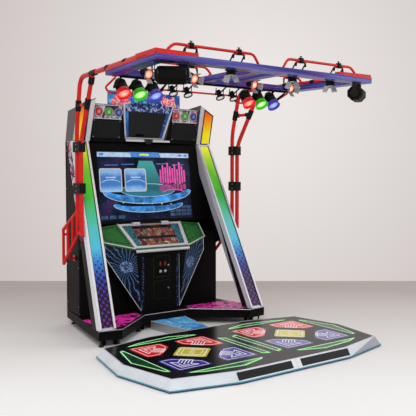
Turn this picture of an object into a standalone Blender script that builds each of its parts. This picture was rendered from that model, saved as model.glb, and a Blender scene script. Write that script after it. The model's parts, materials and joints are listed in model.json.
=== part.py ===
# Two-player dance rhythm machine: cabinet, dance platform and overhead lamp frame.
# Metres, +Z up, the players' side towards -Y. The origin is on the floor under the middle.
# Every named object is one closed body; a moving piece has its origin on its joint's axis.
import math

import bmesh
import bpy
from mathutils import Matrix, Vector

# ---- clearances ----
GAP = 0.0003                 # between pieces that touch
PRESS_GAP = 0.0008           # around a press panel, a button or a door
PAST = 0.010                 # how far a cutting body reaches past what it cuts
FAR_PAST = 0.050             # the same across a slanted face

# ---- dance platform ----
PLATFORM_MIDDLE_Y = -0.658   # centre line of the platform
PLATFORM_TOP = 0.093
PLATFORM_FOOT = 0.015        # rubber feet under the frame
PLATFORM_FOOT_RADIUS = 0.035
PLATFORM_FOOT_INSET = 0.070  # from the outline's corners
RIM_SPREAD = 0.05            # how far the lit edge slopes out towards the floor
RIM_LIP = 0.010              # rim left standing around the deck plate
RIM_LEDGE = 0.030            # ledge that carries the deck plate
FLOOR_PLATE = 0.012
DECK_THICKNESS = 0.020
END_HALF_WIDTH = 1.130       # x of the four corners
BULGE_HALF_WIDTH = 1.235     # x of the blunt points in the middle of each end
BREAK_HALF_WIDTH = 0.600     # where the long edges bend
END_HALF_DEPTH = 0.545
LONG_HALF_DEPTH = 0.668

# ---- press panels ----
PAD_CENTRE_X = 0.565
PANEL_INNER = 0.070          # from the pad's centre lines to an arrow panel
PANEL_OUTER = 0.400
PANEL_CORNER_CUT = 0.330     # x + y of the cut that faces the centre panel
CENTRE_REACH = 0.200         # centre to corner of the turned centre panel
PANEL_ROUND = 0.030
PANEL_THICKNESS = 0.018
PANEL_TRAVEL = 0.002
SENSOR_BLOCK = 0.060

# ---- base plinth ----
PLINTH_BOTTOM = 0.066
PLINTH_TOP = 0.156
PLINTH_WALL = 0.018
MIDDLE_HALF_WIDTH = 0.280    # middle bay of the front skirt
MIDDLE_FRONT_Y = 0.605
FOOT_INNER_X = 0.773
FOOT_INNER_Y = 0.186
FOOT_OUTER_X = 1.000
FOOT_FRONT_Y = 0.220
CABINET_BACK_X = 0.790
CABINET_BACK_Y = 1.376
LEVELLER_RADIUS = 0.022
LEVELLER_FRONT_INSET = 0.100
LEVELLER_BACK_INSET = 0.060

# ---- cabinet ----
BODY_FRONT_X = 0.860
BODY_FRONT_Y = 0.910
BODY_WALL = 0.018
BODY_TOP = 1.942
WING_LOW_Z = 0.930           # where the side wall reaches forward to the pillar
WING_DROP = 0.120
WING_INSET = 0.004           # from the body's outer face
WING_PLATE = 0.010
WING_LAP = 0.012             # how far it runs into the body's wall
WIRING_HALF_WIDTH = 0.150    # way through the front board
WIRING_LOW = 0.360
WIRING_HIGH = 0.700
HEAD_FRONT_Y = 1.046         # lower front edge of the head
HEAD_MIDDLE_HALF_WIDTH = 0.655   # the middle lies lower and further back than the two end towers
HEAD_MIDDLE_FRONT_Y = 0.985
HEAD_MIDDLE_FRONT_Z = BODY_TOP + 0.388
HEAD_MIDDLE_BACK_Y = 1.270
HEAD_MIDDLE_BACK_Z = BODY_TOP + 0.308
HEAD_LEDGE_Z = BODY_TOP + 0.030
TOWER_FRONT_Y = 0.928        # upper front edge of the towers, at their inner side
TOWER_TOP_Z = BODY_TOP + 0.437
TOWER_SIDE_FALL = 0.520      # fall of a tower's top towards its outer side, per metre
TOWER_BACK_FALL = 0.110      # and towards the back
TOWER_TRIM = 0.006           # the towers' block is this much taller before its top is cut
TOWER_PLATE = 0.022
PILLAR_FOOT_X = 0.817        # inner front corner at the deck
PILLAR_FOOT_Y = 0.206
PILLAR_TOP_X = 0.688
PILLAR_TOP_Y = 1.042
PILLAR_DEPTH = 0.150
PILLAR_OUTER_TOP_X = 0.858
PILLAR_WIDTH = 0.175
PILLAR_SETBACK = 0.020       # the deck's nose stands out in front of the foot
PILLAR_SIDE_INSET = 0.008
PILLAR_TRIM = 0.030          # silver strips beside the lit cover
COVER_LIP = 0.008            # ledge the cover rests on
COVER_END = 0.012            # share of the height left closed at each end
LIGHT_CHANNEL = 0.060
LIGHT_COVER = 0.006
DOOR_PLATE = 0.015           # rear door
REAR_DOOR_HALF_WIDTH = 0.330
REAR_DOOR_BOTTOM = 0.340
REAR_DOOR_TOP = 1.240

# ---- displays ----
SCREEN_LOW_Y = 0.983
SCREEN_LOW_Z = 1.112
SCREEN_HIGH_Y = 1.064
SCREEN_HIGH_Z = 1.848
SCREEN_HALF_WIDTH = 0.585
BEZEL_STEP_ROOM = 0.043      # the surround narrows this far below where it meets the pillars
BEZEL_LOW_MARGIN = 0.030
BEZEL_HIGH_MARGIN = 0.085
BEZEL_THICKNESS = 0.020
SCREEN_OVERLAP = 0.008       # how far the bezel covers the display's edge
DISPLAY_THICKNESS = 0.060
GLASS_SET_BACK = 0.004
MARQUEE_LOW_HALF_WIDTH = 0.226
MARQUEE_HIGH_HALF_WIDTH = 0.290
MARQUEE_LOW_Y = 1.075
MARQUEE_LOW_Z = BODY_TOP + 0.058
MARQUEE_HIGH_Y = 0.975
MARQUEE_HIGH_Z = TOWER_TOP_Z - 0.034
MARQUEE_FRAME = 0.028
MARQUEE_THICKNESS = 0.040
MARQUEE_SET_BACK = 0.006     # display behind its frame's face
MARQUEE_DEPTH = MARQUEE_THICKNESS + 2 * MARQUEE_SET_BACK
MARQUEE_TOP_TRIM = 0.020
MARQUEE_SPAN = 0.300
BOARD_HALF_WIDTH = 0.447
BOARD_Y = 1.072
BOARD_TOP = TOWER_TOP_Z + 0.105
BOARD_THICKNESS = 0.030

# ---- console ----
PODIUM_HALF_WIDTH = 0.240
PODIUM_FRONT_Y = 0.750
PANEL_FRONT_X = 0.327
PANEL_FRONT_Y = 0.705
PANEL_FRONT_Z = 0.834
PANEL_BACK_X = 0.393
PANEL_BACK_Y = 0.972
PANEL_BACK_Z = 1.073
WING_OUTER_X = 0.630
WING_OUTER_Y = 0.820
WING_OUTER_Z = 0.905
WING_BACK_X = 0.650
WING_BACK_Z = 1.045
FRONT_BOARD_TOP = 0.955      # body's front board, just under the console's plates
TOP_PLATE = 0.020
TOUCH_MARGIN = 0.030
TOUCH_PLATE = 0.010
TOUCH_PROUD = 0.002
TOUCH_LOW = 0.090            # shares of the panel's slope
TOUCH_HIGH = 0.930
TOUCH_HEIGHT = 0.140         # half of its smaller side
SEAT_RISE = 0.020
BODY_LIP = 0.012             # the plates stand out past the console's body
WING_LIP = 0.006
WING_SIDE_LIP = 0.004
FLANK_DEPTH = 0.130          # below the wing's outer corner
BAR_Z = 0.805
BAR_HALF_WIDTH = 0.330
BAR_RADIUS = 0.014
BAR_SETBACK = 0.012          # in front of the panel's edge
BAR_BRACKET_X = 0.240
BAR_BRACKET_HALF = 0.012
RECESS_BELOW_BAR = 0.055
INSIDE_HALF_WIDTH = 0.200
INSIDE_LOW = 0.200
INSIDE_HIGH = 0.755
PODIUM_WALL = 0.030
COIN_X = 0.018
COIN_HALF_WIDTH = 0.108
COIN_DOOR_BOTTOM = 0.500
COIN_DOOR_TOP = 0.745
CASH_DOOR_BOTTOM = 0.270
CASH_DOOR_TOP = 0.480
SMALL_DOOR_PLATE = 0.010
DOOR_STOP = 0.014            # how far a small door laps its opening
BUTTON_SIZE = 0.026
BUTTON_Z = 0.570
BUTTON_SPACING = 0.060
BUTTON_SHIFT = 0.012         # the pair sits right of the door's middle
BUTTON_PROUD = 0.006
BUTTON_STEM = 0.012
SLOT_HALF_WIDTH = 0.003      # coin slots above the buttons
SLOT_LOW = 0.060
SLOT_HIGH = 0.100

# ---- cable duct ----
DUCT_BACK_HALF_WIDTH = 0.210
DUCT_FRONT_HALF_WIDTH = 0.120
DUCT_HEIGHT = 0.085
DUCT_WALL = 0.006

# ---- side frames ----
TUBE_RADIUS = 0.023
POST_X = 0.957
REAR_POST_Y = 0.735
FRONT_POST_Y = 0.645
POST_BOTTOM = 1.000
REAR_BEND_Z = 2.050
FRONT_BEND_Z = 1.915
ARM_BACK_X = 0.970
ARM_BACK_Y = 0.620
ARM_FRONT_X = 1.100
ARM_FRONT_Y = -0.780
ARM_JOINT_Y = 0.300
LADDER_BACK_Y = 1.075
LADDER_LOW_BACK_Z = 0.690
LADDER_HIGH_FRONT_Z = 1.240
LADDER_HIGH_BACK_Z = 1.040
LADDER_RADIUS = 0.018
RUNG_RADIUS = 0.0162
RUNG_SHARES = (0.34, 0.68, 1.0)
BEND_RADIUS = 0.100
FOOT_TIE_RISE = 0.030        # tie between the two posts' lower ends
STRUT_Z = 2.260
LEG_RADIUS = 0.012           # short legs from the ladder to the body
LEG_INSET = 0.050
FLANGE_HALF = 0.030
FLANGE_PLATE = 0.008
CLAMP_HALF_WIDTH = 0.029
CLAMP_REACH = 0.030
CLAMP_HEIGHT = 0.040
CLAMP_HEIGHTS = (1.470, 1.870)
CORNER_CAP = 0.030
CAP_LENGTH = 0.400           # along the front beam
CAP_DEPTH = 0.340            # along the end beam
CAP_FRONT = 0.030
CAP_BACK = 0.090
CAP_WIDTH = 0.120

# ---- roof ----
ROOF_BOTTOM = 2.450
BEAM_DEPTH = 0.050
ROOF_TOP = ROOF_BOTTOM + BEAM_DEPTH
ROOF_FRONT_Y = -1.090
ROOF_FRONT_X = 1.180
FRONT_BEAM = 0.120
ROOF_BACK_Y = -0.100
ROOF_BACK_X = 1.080
REAR_BEAM = 0.110
END_BEAM = 0.130
SPINE_X = 0.115              # the two members that run front to back
SPINE_WIDTH = 0.090
GUSSET = 0.030

# ---- rails and spot lamps ----
RAIL_RADIUS = 0.012
RAIL_INNER_X = 0.138
FRONT_RAIL_OUTER_X = 1.030
MID_RAIL_OUTER_X = 1.008
RAIL_FOOT_RADIUS = 0.020
RAIL_SLOPE = 0.055           # how far a rail's legs lean in
FRONT_RAIL_Y = -1.010
FRONT_RAIL_TOP = ROOF_TOP + 0.092
MID_RAIL_Y = -0.340
MID_RAIL_TOP = ROOF_TOP + 0.070
SPOT_X = (0.345, 0.817)
FRONT_SPOT_Y = -0.905
FRONT_SPOT_Z = ROOF_BOTTOM + 0.012
MID_SPOT_Y = -0.345
MID_SPOT_Z = ROOF_BOTTOM + 0.012
SPOT_RADIUS = 0.043
SPOT_REAR = 0.060
SPOT_FRONT = 0.045
YOKE_HALF_WIDTH = SPOT_RADIUS + 0.013
YOKE_PLATE = 0.004
YOKE_DEPTH = 0.018
YOKE_BELOW_BOLT = 0.012
BOLT_RADIUS = 0.008
MID_SPOT_TILT = math.radians(-68)
RAIL_STUB = 0.015            # upright end of a rail over its foot
RAIL_FOOT_PLATE = 0.006
RAIL_BEND = 0.030
RAIL_CLAMP_HALF = 0.018
BRIDGE_DROP = 0.020          # the yoke's top plate below the rail's middle
SPOT_NECK = 0.024
SPOT_SHOULDER = 0.020
SPOT_MOUTH = 0.034
SPOT_WELL = 0.010
FLAP_NEAR_HALF = 0.030
FLAP_NEAR_OUT = 0.036
FLAP_NEAR_Z = -0.038
FLAP_FAR_HALF = 0.042
FLAP_FAR_OUT = 0.064
FLAP_FAR_Z = -0.100
FLAP_PLATE = 0.003

# ---- colour lamps and corner lamps ----
COLOUR_LAMP_FIRST_X = 0.546
COLOUR_LAMP_Y = -0.015
COLOUR_LAMP_Z = ROOF_BOTTOM - 0.078
COLOUR_LAMP_RADIUS = 0.066
COLOUR_LAMP_LENGTH = 0.180
COLOUR_LAMP_DIP = math.radians(53)
COLOUR_YOKE_HALF_WIDTH = COLOUR_LAMP_RADIUS + 0.007
COLOUR_LAMP_ROOM = 0.011     # between one lamp's yoke and the next
COLOUR_LAMP_SPACING = 2 * (COLOUR_YOKE_HALF_WIDTH + YOKE_PLATE) + COLOUR_LAMP_ROOM
COLOUR_LAMP_X = [COLOUR_LAMP_FIRST_X + COLOUR_LAMP_SPACING * place for place in range(3)]
BAR_PLATE_Y = -0.155
BAR_PLATE_HALF_LENGTH = COLOUR_LAMP_X[-1] + COLOUR_YOKE_HALF_WIDTH + 0.013
PIN_X = (0.190, 0.355)
PIN_RADIUS = 0.024
PIN_Y = -0.035
PIN_Z = ROOF_BOTTOM - 0.065
PIN_HALF_LENGTH = 0.035
PIN_STEM = 0.007
BAR_PLATE_HALF_WIDTH = 0.020
BAR_PLATE = 0.012
COLOUR_NECK = 0.030          # radii of a colour lamp from the back to the hood
COLOUR_BACK = 0.046
COLOUR_WAIST = 0.050
COLOUR_HOOD = 0.030          # where the hood begins below the bolt
COLOUR_WALL = 0.008
COLOUR_WELL = 0.025
COLOUR_ARM = 0.014
CORNER_LAMP_X = 1.020
CORNER_LAMP_Y = -1.050
CORNER_LAMP_Z = ROOF_BOTTOM - 0.105
CORNER_LAMP_LENGTH = 0.250
CORNER_LAMP_SIZE = 0.075
CORNER_LAMP_TURN = math.radians(32)
CORNER_LAMP_TAPER = 0.030
CORNER_LAMP_END = 0.620      # size of its end faces
CORNER_LAMP_SQUASH = 0.950
CORNER_YOKE_PLATE = 0.006
CORNER_YOKE_GAP = 0.003
CORNER_YOKE_HALF = 0.020
CORNER_YOKE_TOP = 0.006      # the bridge below the roof
CORNER_STEM_RADIUS = 0.015
REAR_RAIL_Y = COLOUR_LAMP_Y + COLOUR_LAMP_RADIUS + 0.009
REAR_RAIL_LOW = ROOF_BOTTOM - 0.125
REAR_RAIL_HIGH = ROOF_BOTTOM - 0.058
REAR_RAIL_END_X = BAR_PLATE_HALF_LENGTH + 0.038
REAR_RAIL_BEND_X = REAR_RAIL_END_X - 0.040
REAR_RAIL_LOW_X = 0.480
REAR_RAIL_HIGH_X = 0.400
REAR_RAIL_RADIUS = 0.0096
REAR_RAIL_SET_BACK = 0.030
REAR_RAIL_RISE = 0.045

# ---- what works inside the cabinet ----
COMPUTER_SIZE = (0.420, 0.200, 0.380)
COMPUTER_BACK_ROOM = 0.030
VENT_INSET = 0.030
VENT_WIDTH = 0.040
VENT_LOW = 0.050
VENT_HEIGHT = 0.200
VENT_DEPTH = 0.004
CASH_BOX_SIZE = (0.200, 0.100, 0.130)
CASH_BOX_WALL = 0.003
CASH_BOX_FRONT_ROOM = 0.010


# ---- mesh making ----
MOST_OF_HALF = 0.42          # how much of an edge a rounded corner may use
WELD = 0.000002
FLAT_ANGLE = 0.0002


# ======================= mesh tools =======================

def mesh_from(builder_mesh, name):
    """Turn a bmesh into a mesh whose faces point out."""
    bmesh.ops.recalc_face_normals(builder_mesh, faces=builder_mesh.faces)
    mesh = bpy.data.meshes.new(name)
    builder_mesh.to_mesh(mesh)
    builder_mesh.free()
    return mesh


def loft(lower, upper):
    """A closed body between two outlines that have the same number of points."""
    shape = bmesh.new()
    base = shape.faces.new([shape.verts.new(point) for point in lower])
    lifted = bmesh.ops.extrude_face_region(shape, geom=[base], use_keep_orig=True)
    moved = [item for item in lifted["geom"] if isinstance(item, bmesh.types.BMVert)]
    shape.verts.ensure_lookup_table()
    for vertex, point in zip(match_order(moved, lower), upper):
        vertex.co = point
    return mesh_from(shape, "loft")


def match_order(vertices, points):
    """The extruded vertices in the order of the outline they started on."""
    left = list(vertices)
    ordered = []
    for point in points:
        nearest = min(left, key=lambda vertex: (vertex.co - Vector(point)).length)
        left.remove(nearest)
        ordered.append(nearest)
    return ordered


def prism(outline, bottom, top):
    return loft([(x, y, bottom) for x, y in outline], [(x, y, top) for x, y in outline])


def block(low, high):
    outline = [(low[0], low[1]), (high[0], low[1]), (high[0], high[1]), (low[0], high[1])]
    return prism(outline, low[2], high[2])


def side_slab(profile, low_x, high_x):
    """A profile in Y and Z, carried from one X to another."""
    return loft([(low_x, y, z) for y, z in profile], [(high_x, y, z) for y, z in profile])


def turned(profile, sides, start, end):
    """A profile of (radius, distance) turned about the line from start to end."""
    axis = (Vector(end) - Vector(start)).normalized()
    shape = bmesh.new()
    previous = None
    for radius, distance in profile:
        previous = shape.verts.new((radius, 0, distance)) if previous is None else join(
            shape, previous, (radius, 0, distance))
    bmesh.ops.spin(shape, geom=list(shape.verts) + list(shape.edges), cent=(0, 0, 0),
                   axis=(0, 0, 1), angle=math.tau, steps=sides, use_merge=True)
    bmesh.ops.remove_doubles(shape, verts=shape.verts, dist=0.00001)
    turn = Vector((0, 0, 1)).rotation_difference(axis).to_matrix().to_4x4()
    bmesh.ops.transform(shape, matrix=Matrix.Translation(start) @ turn, verts=shape.verts)
    return mesh_from(shape, "turned")


def join(shape, previous, point):
    vertex = shape.verts.new(point)
    shape.edges.new((previous, vertex))
    return vertex


def rod(start, end, radius, sides=12):
    length = (Vector(end) - Vector(start)).length
    return turned([(0, 0), (radius, 0), (radius, length), (0, length)], sides, start, end)


def rounded_path(points, radius, steps=4):
    """The points of a bent tube: each inner corner becomes an arc."""
    path = [Vector(points[0])]
    for before, corner, after in zip(points, points[1:], points[2:]):
        corner = Vector(corner)
        back = (Vector(before) - corner).normalized()
        ahead = (Vector(after) - corner).normalized()
        room = min((Vector(before) - corner).length, (Vector(after) - corner).length)
        reach = min(radius, room * MOST_OF_HALF)
        for step in range(steps + 1):
            share = step / steps
            path.append(corner + back * reach * (1 - share) ** 2 + ahead * reach * share ** 2)
    path.append(Vector(points[-1]))
    return path


def tube(points, radius, resolution=1):
    """A round tube with closed ends along a list of points."""
    curve = bpy.data.curves.new("tube", "CURVE")
    curve.dimensions = "3D"
    curve.bevel_depth = radius
    curve.bevel_resolution = resolution
    curve.use_fill_caps = True
    spline = curve.splines.new("POLY")
    spline.points.add(len(points) - 1)
    for node, point in zip(spline.points, points):
        node.co = (*point, 1)
    holder = bpy.data.objects.new("tube", curve)
    bpy.context.scene.collection.objects.link(holder)
    mesh = bpy.data.meshes.new_from_object(holder.evaluated_get(bpy.context.evaluated_depsgraph_get()))
    bpy.data.objects.remove(holder)
    return mesh


def moved(mesh, matrix):
    copy = mesh.copy()
    copy.transform(matrix)
    if matrix.determinant() < 0:
        copy.flip_normals()
    return copy


def mirrored(mesh):
    return moved(mesh, Matrix.Diagonal((-1, 1, 1, 1)))


def combined(base, tools, operation):
    """The base mesh with the tools joined to it or cut from it, one at a time."""
    scene = bpy.context.scene
    mesh = base
    for tool in tools:
        holder = bpy.data.objects.new("holder", mesh)
        helper = bpy.data.objects.new("helper", tool)
        scene.collection.objects.link(holder)
        scene.collection.objects.link(helper)
        modifier = holder.modifiers.new("step", "BOOLEAN")
        modifier.operation = operation
        modifier.solver = "EXACT"
        modifier.object = helper
        graph = bpy.context.evaluated_depsgraph_get()
        mesh = bpy.data.meshes.new_from_object(holder.evaluated_get(graph))
        bpy.data.objects.remove(helper)
        bpy.data.objects.remove(holder)
        tidy_faces(mesh)
    return mesh


def tidy_faces(mesh):
    """Melt the slivers that a cut leaves, and make one face of each flat area."""
    shape = bmesh.new()
    shape.from_mesh(mesh)
    bmesh.ops.remove_doubles(shape, verts=shape.verts, dist=WELD)
    bmesh.ops.dissolve_degenerate(shape, edges=shape.edges, dist=WELD)
    bmesh.ops.dissolve_limit(shape, angle_limit=FLAT_ANGLE, verts=shape.verts, edges=shape.edges)
    shape.to_mesh(mesh)
    shape.free()


def union(base, *tools):
    return combined(base, tools, "UNION")


def cut(base, *tools):
    return combined(base, tools, "DIFFERENCE")


def grown(outline, distance):
    """A convex or nearly convex outline with each edge moved out by the distance."""
    area = sum(a[0] * b[1] - b[0] * a[1] for a, b in zip(outline, outline[1:] + outline[:1]))
    sign = 1 if area > 0 else -1
    result = []
    for before, here, after in zip(outline[-1:] + outline[:-1], outline, outline[1:] + outline[:1]):
        first = (Vector(here) - Vector(before)).normalized()
        second = (Vector(after) - Vector(here)).normalized()
        first_out = Vector((first.y, -first.x)) * sign
        second_out = Vector((second.y, -second.x)) * sign
        bisector = (first_out + second_out).normalized()
        reach = distance / max(0.2, bisector.dot(first_out))
        result.append((here[0] + bisector.x * reach, here[1] + bisector.y * reach))
    return result


def rounded(outline, radius, steps=3):
    """An outline with every corner rounded."""
    result = []
    for before, here, after in zip(outline[-1:] + outline[:-1], outline, outline[1:] + outline[:1]):
        corner = Vector(here)
        back = Vector(before) - corner
        ahead = Vector(after) - corner
        reach = min(radius, back.length * MOST_OF_HALF, ahead.length * MOST_OF_HALF)
        for step in range(steps + 1):
            share = step / steps
            point = corner + back.normalized() * reach * (1 - share) ** 2
            point += ahead.normalized() * reach * share ** 2
            result.append((point.x, point.y))
    return result


def both_sides(half):
    """A full outline from the points of its right half, listed from front to back."""
    return half + [(-x, y) for x, y in reversed(half)]


# ======================= materials and objects =======================

def finish(name, colour, roughness, metallic=0.0, glow=0.0):
    material = bpy.data.materials.new(name)
    material.use_nodes = True
    shader = material.node_tree.nodes["Principled BSDF"]
    shader.inputs["Base Color"].default_value = (*colour, 1)
    shader.inputs["Roughness"].default_value = roughness
    shader.inputs["Metallic"].default_value = metallic
    shader.inputs["Emission Color"].default_value = (*colour, 1)
    shader.inputs["Emission Strength"].default_value = glow
    return material


def piece(name, mesh, material, origin=(0, 0, 0)):
    """Add one named sub-part; its origin goes to the given point."""
    mesh.transform(Matrix.Translation(-Vector(origin)))
    mesh.name = name
    mesh.materials.clear()
    mesh.materials.append(material)
    item = bpy.data.objects.new(name, mesh)
    item.location = origin
    bpy.context.scene.collection.objects.link(item)
    return item


# ======================= dance platform =======================

def platform_outline():
    right = [(BREAK_HALF_WIDTH, -LONG_HALF_DEPTH), (END_HALF_WIDTH, -END_HALF_DEPTH),
             (BULGE_HALF_WIDTH, 0), (END_HALF_WIDTH, END_HALF_DEPTH), (BREAK_HALF_WIDTH, LONG_HALF_DEPTH)]
    return [(x, y + PLATFORM_MIDDLE_Y) for x, y in both_sides(right)]


def at_height(outline, z):
    return [(x, y, z) for x, y in outline]


def arrow_outline(side_x, side_y, growth=0.0):
    """An arrow panel seen from its pad's centre; its inner corner is cut off."""
    slant = PANEL_CORNER_CUT - growth * math.sqrt(2)
    low = PANEL_INNER - growth
    high = PANEL_OUTER + growth
    corner = [(slant - low, low), (high, low), (high, high), (low, high), (low, slant - low)]
    shaped = rounded(corner, PANEL_ROUND)
    return [(x * side_x, y * side_y) for x, y in shaped]


def centre_outline(growth=0.0):
    reach = CENTRE_REACH + growth * math.sqrt(2)
    return rounded([(reach, 0), (0, reach), (-reach, 0), (0, -reach)], PANEL_ROUND)


def panel_layout():
    """Name, pad side and outline maker of every press panel."""
    corners = {"back_left": (-1, 1), "back_right": (1, 1),
               "front_left": (-1, -1), "front_right": (1, -1)}
    middle = (PANEL_INNER + PANEL_OUTER) / 2
    for pad, pad_x in (("left", -PAD_CENTRE_X), ("right", PAD_CENTRE_X)):
        for corner, (side_x, side_y) in corners.items():
            yield (f"{pad}_pad_{corner}_panel", pad_x,
                   lambda growth, sx=side_x, sy=side_y: arrow_outline(sx, sy, growth),
                   (pad_x + side_x * middle, PLATFORM_MIDDLE_Y + side_y * middle))
        yield f"{pad}_pad_centre_panel", pad_x, centre_outline, (pad_x, PLATFORM_MIDDLE_Y)


def placed(outline, pad_x):
    return [(x + pad_x, y + PLATFORM_MIDDLE_Y) for x, y in outline]


def build_platform(finishes):
    top = platform_outline()
    deck_bottom = PLATFORM_TOP - DECK_THICKNESS
    shell = loft(at_height(grown(top, RIM_SPREAD), PLATFORM_FOOT), at_height(top, PLATFORM_TOP))
    deck_seat = prism(grown(top, -RIM_LIP), deck_bottom, PLATFORM_TOP + PAST)
    hollow = prism(grown(top, -RIM_LIP - RIM_LEDGE), PLATFORM_FOOT + FLOOR_PLATE, deck_bottom + PAST)
    frame = cut(shell, deck_seat, hollow)
    added = []
    inside = PLATFORM_FOOT + FLOOR_PLATE / 2
    block_top = PLATFORM_TOP - PANEL_THICKNESS - PANEL_TRAVEL - GAP
    half = SENSOR_BLOCK / 2
    for _, _, _, (x, y) in panel_layout():
        added.append(block((x - half, y - half, inside), (x + half, y + half, block_top)))
    foot_x = END_HALF_WIDTH - PLATFORM_FOOT_INSET
    foot_y = END_HALF_DEPTH - PLATFORM_FOOT_INSET
    break_y = LONG_HALF_DEPTH - PLATFORM_FOOT_INSET
    for x, y in both_sides([(foot_x, foot_y), (foot_x, -foot_y), (BREAK_HALF_WIDTH, break_y),
                            (BREAK_HALF_WIDTH, -break_y)]):
        y += PLATFORM_MIDDLE_Y
        added.append(rod((x, y, 0), (x, y, inside), PLATFORM_FOOT_RADIUS, 12))
    piece("platform_frame", union(frame, *added), finishes["silver"])

    plate = prism(grown(top, -RIM_LIP - GAP), deck_bottom + GAP, PLATFORM_TOP)
    windows = [prism(placed(shape(PRESS_GAP), pad_x), deck_bottom - PAST, PLATFORM_TOP + PAST)
               for _, pad_x, shape, _ in panel_layout()]
    piece("platform_deck", cut(plate, *windows), finishes["gloss_black"])

    for name, pad_x, shape, centre in panel_layout():
        colour = "yellow" if "centre" in name else "red" if "back" in name else "blue"
        mesh = prism(placed(shape(0.0), pad_x), PLATFORM_TOP - PANEL_THICKNESS, PLATFORM_TOP)
        piece(name, mesh, finishes[colour], (centre[0], centre[1], PLATFORM_TOP))


# ======================= base plinth and duct =======================

def plinth_outline():
    return both_sides(plinth_half())


def plinth_half():
    return [(MIDDLE_HALF_WIDTH, MIDDLE_FRONT_Y), (FOOT_INNER_X, FOOT_INNER_Y),
            (FOOT_OUTER_X, FOOT_FRONT_Y), (CABINET_BACK_X, CABINET_BACK_Y)]


def build_plinth(finishes):
    body = prism(plinth_outline(), PLINTH_BOTTOM, PLINTH_TOP)
    rib = PLINTH_WALL / 2
    ceiling = PLINTH_TOP - PLINTH_WALL
    bottom = PLINTH_BOTTOM - PAST
    inner_back = CABINET_BACK_Y - PLINTH_WALL
    front = MIDDLE_FRONT_Y + PLINTH_WALL
    bay = MIDDLE_HALF_WIDTH - rib
    middle = block((-bay, front, bottom), (bay, inner_back, ceiling))
    wing = grown(plinth_half() + [(MIDDLE_HALF_WIDTH, CABINET_BACK_Y)], -PLINTH_WALL)
    right_pocket = prism(wing, bottom, ceiling)
    hollow = cut(body, middle, right_pocket, mirrored(right_pocket))
    added = []
    for side in (-1, 1):
        for x, y in ((FOOT_OUTER_X - LEVELLER_FRONT_INSET, FOOT_FRONT_Y + LEVELLER_FRONT_INSET),
                     (FOOT_INNER_X + LEVELLER_RADIUS, FOOT_INNER_Y + LEVELLER_FRONT_INSET),
                     (MIDDLE_HALF_WIDTH, MIDDLE_FRONT_Y + LEVELLER_BACK_INSET),
                     (CABINET_BACK_X - LEVELLER_BACK_INSET, CABINET_BACK_Y - LEVELLER_BACK_INSET)):
            added.append(rod((side * x, y, 0), (side * x, y, ceiling + rib), LEVELLER_RADIUS, 10))
    piece("base_plinth", union(hollow, *added), finishes["black"])


def build_duct(finishes):
    back = MIDDLE_FRONT_Y - GAP
    front = PLATFORM_MIDDLE_Y + LONG_HALF_DEPTH + RIM_SPREAD + GAP
    outer = [(-DUCT_FRONT_HALF_WIDTH, front), (DUCT_FRONT_HALF_WIDTH, front),
             (DUCT_BACK_HALF_WIDTH, back), (-DUCT_BACK_HALF_WIDTH, back)]
    narrow = DUCT_FRONT_HALF_WIDTH - DUCT_WALL
    wide = DUCT_BACK_HALF_WIDTH - DUCT_WALL
    inner = [(-narrow, front - PAST), (narrow, front - PAST), (wide, back + PAST), (-wide, back + PAST)]
    cover = cut(prism(outer, 0.0, DUCT_HEIGHT), prism(inner, -PAST, DUCT_HEIGHT - DUCT_WALL))
    piece("cable_duct", cover, finishes["light_blue"])


# ======================= cabinet =======================

def pillar_point(across, depth, height, side):
    """A point of a slanted pillar: across 0..1 from the inside, depth in metres, height 0..1."""
    inner = PILLAR_FOOT_X + (PILLAR_TOP_X - PILLAR_FOOT_X) * height
    foot_outer = FOOT_OUTER_X - PILLAR_SIDE_INSET
    foot_front = PILLAR_FOOT_Y + PILLAR_SETBACK
    outer = foot_outer + (PILLAR_OUTER_TOP_X - foot_outer) * height
    front = foot_front + (PILLAR_TOP_Y - foot_front) * height
    z = PLINTH_TOP + GAP + (BODY_TOP - GAP - PLINTH_TOP - GAP) * height
    return (side * (inner + (outer - inner) * across), front + depth, z)


def pillar_box(low_across, high_across, low_depth, high_depth, side, low=0.0, high=1.0):
    corners = ((low_across, low_depth), (high_across, low_depth),
               (high_across, high_depth), (low_across, high_depth))

    def ring(height):
        return [pillar_point(across, depth, height, side) for across, depth in corners]
    return loft(ring(low), ring(high))


def pillar_back_y(z):
    share = (z - PLINTH_TOP) / (BODY_TOP - PLINTH_TOP)
    return pillar_point(0, PILLAR_DEPTH, share, 1)[1]


def build_pillars(finishes):
    trim = PILLAR_TRIM / PILLAR_WIDTH
    lip = trim + COVER_LIP / PILLAR_WIDTH
    spare = trim + PRESS_GAP / PILLAR_WIDTH
    low = COVER_END
    for name, side in (("left", -1), ("right", 1)):
        body = pillar_box(0, 1, 0, PILLAR_DEPTH, side)
        seat = pillar_box(trim, 1 - trim, -2 * PAST, LIGHT_COVER + GAP, side, low, 1 - low)
        channel = pillar_box(lip, 1 - lip, -PAST, LIGHT_CHANNEL, side, 2 * low, 1 - 2 * low)
        piece(f"pillar_{name}", cut(body, seat, channel), finishes["silver"])
        cover = pillar_box(spare, 1 - spare, 0.0, LIGHT_COVER, side, low + PRESS_GAP, 1 - low - PRESS_GAP)
        piece(f"light_cover_{name}", cover, finishes["lit_cover"])


def body_profile():
    """Side view of the cabinet's body behind the pillars, as (y, z)."""
    meeting = BODY_FRONT_Y
    low_z = PLINTH_TOP + GAP
    share = (meeting - pillar_back_y(PLINTH_TOP)) / (pillar_back_y(BODY_TOP) - pillar_back_y(PLINTH_TOP))
    bend_z = PLINTH_TOP + share * (BODY_TOP - PLINTH_TOP)
    top_z = BODY_TOP - GAP
    return [(meeting + GAP, low_z), (meeting + GAP, bend_z), (pillar_back_y(top_z) + GAP, top_z),
            (CABINET_BACK_Y, top_z), (CABINET_BACK_Y, low_z)]


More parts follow.
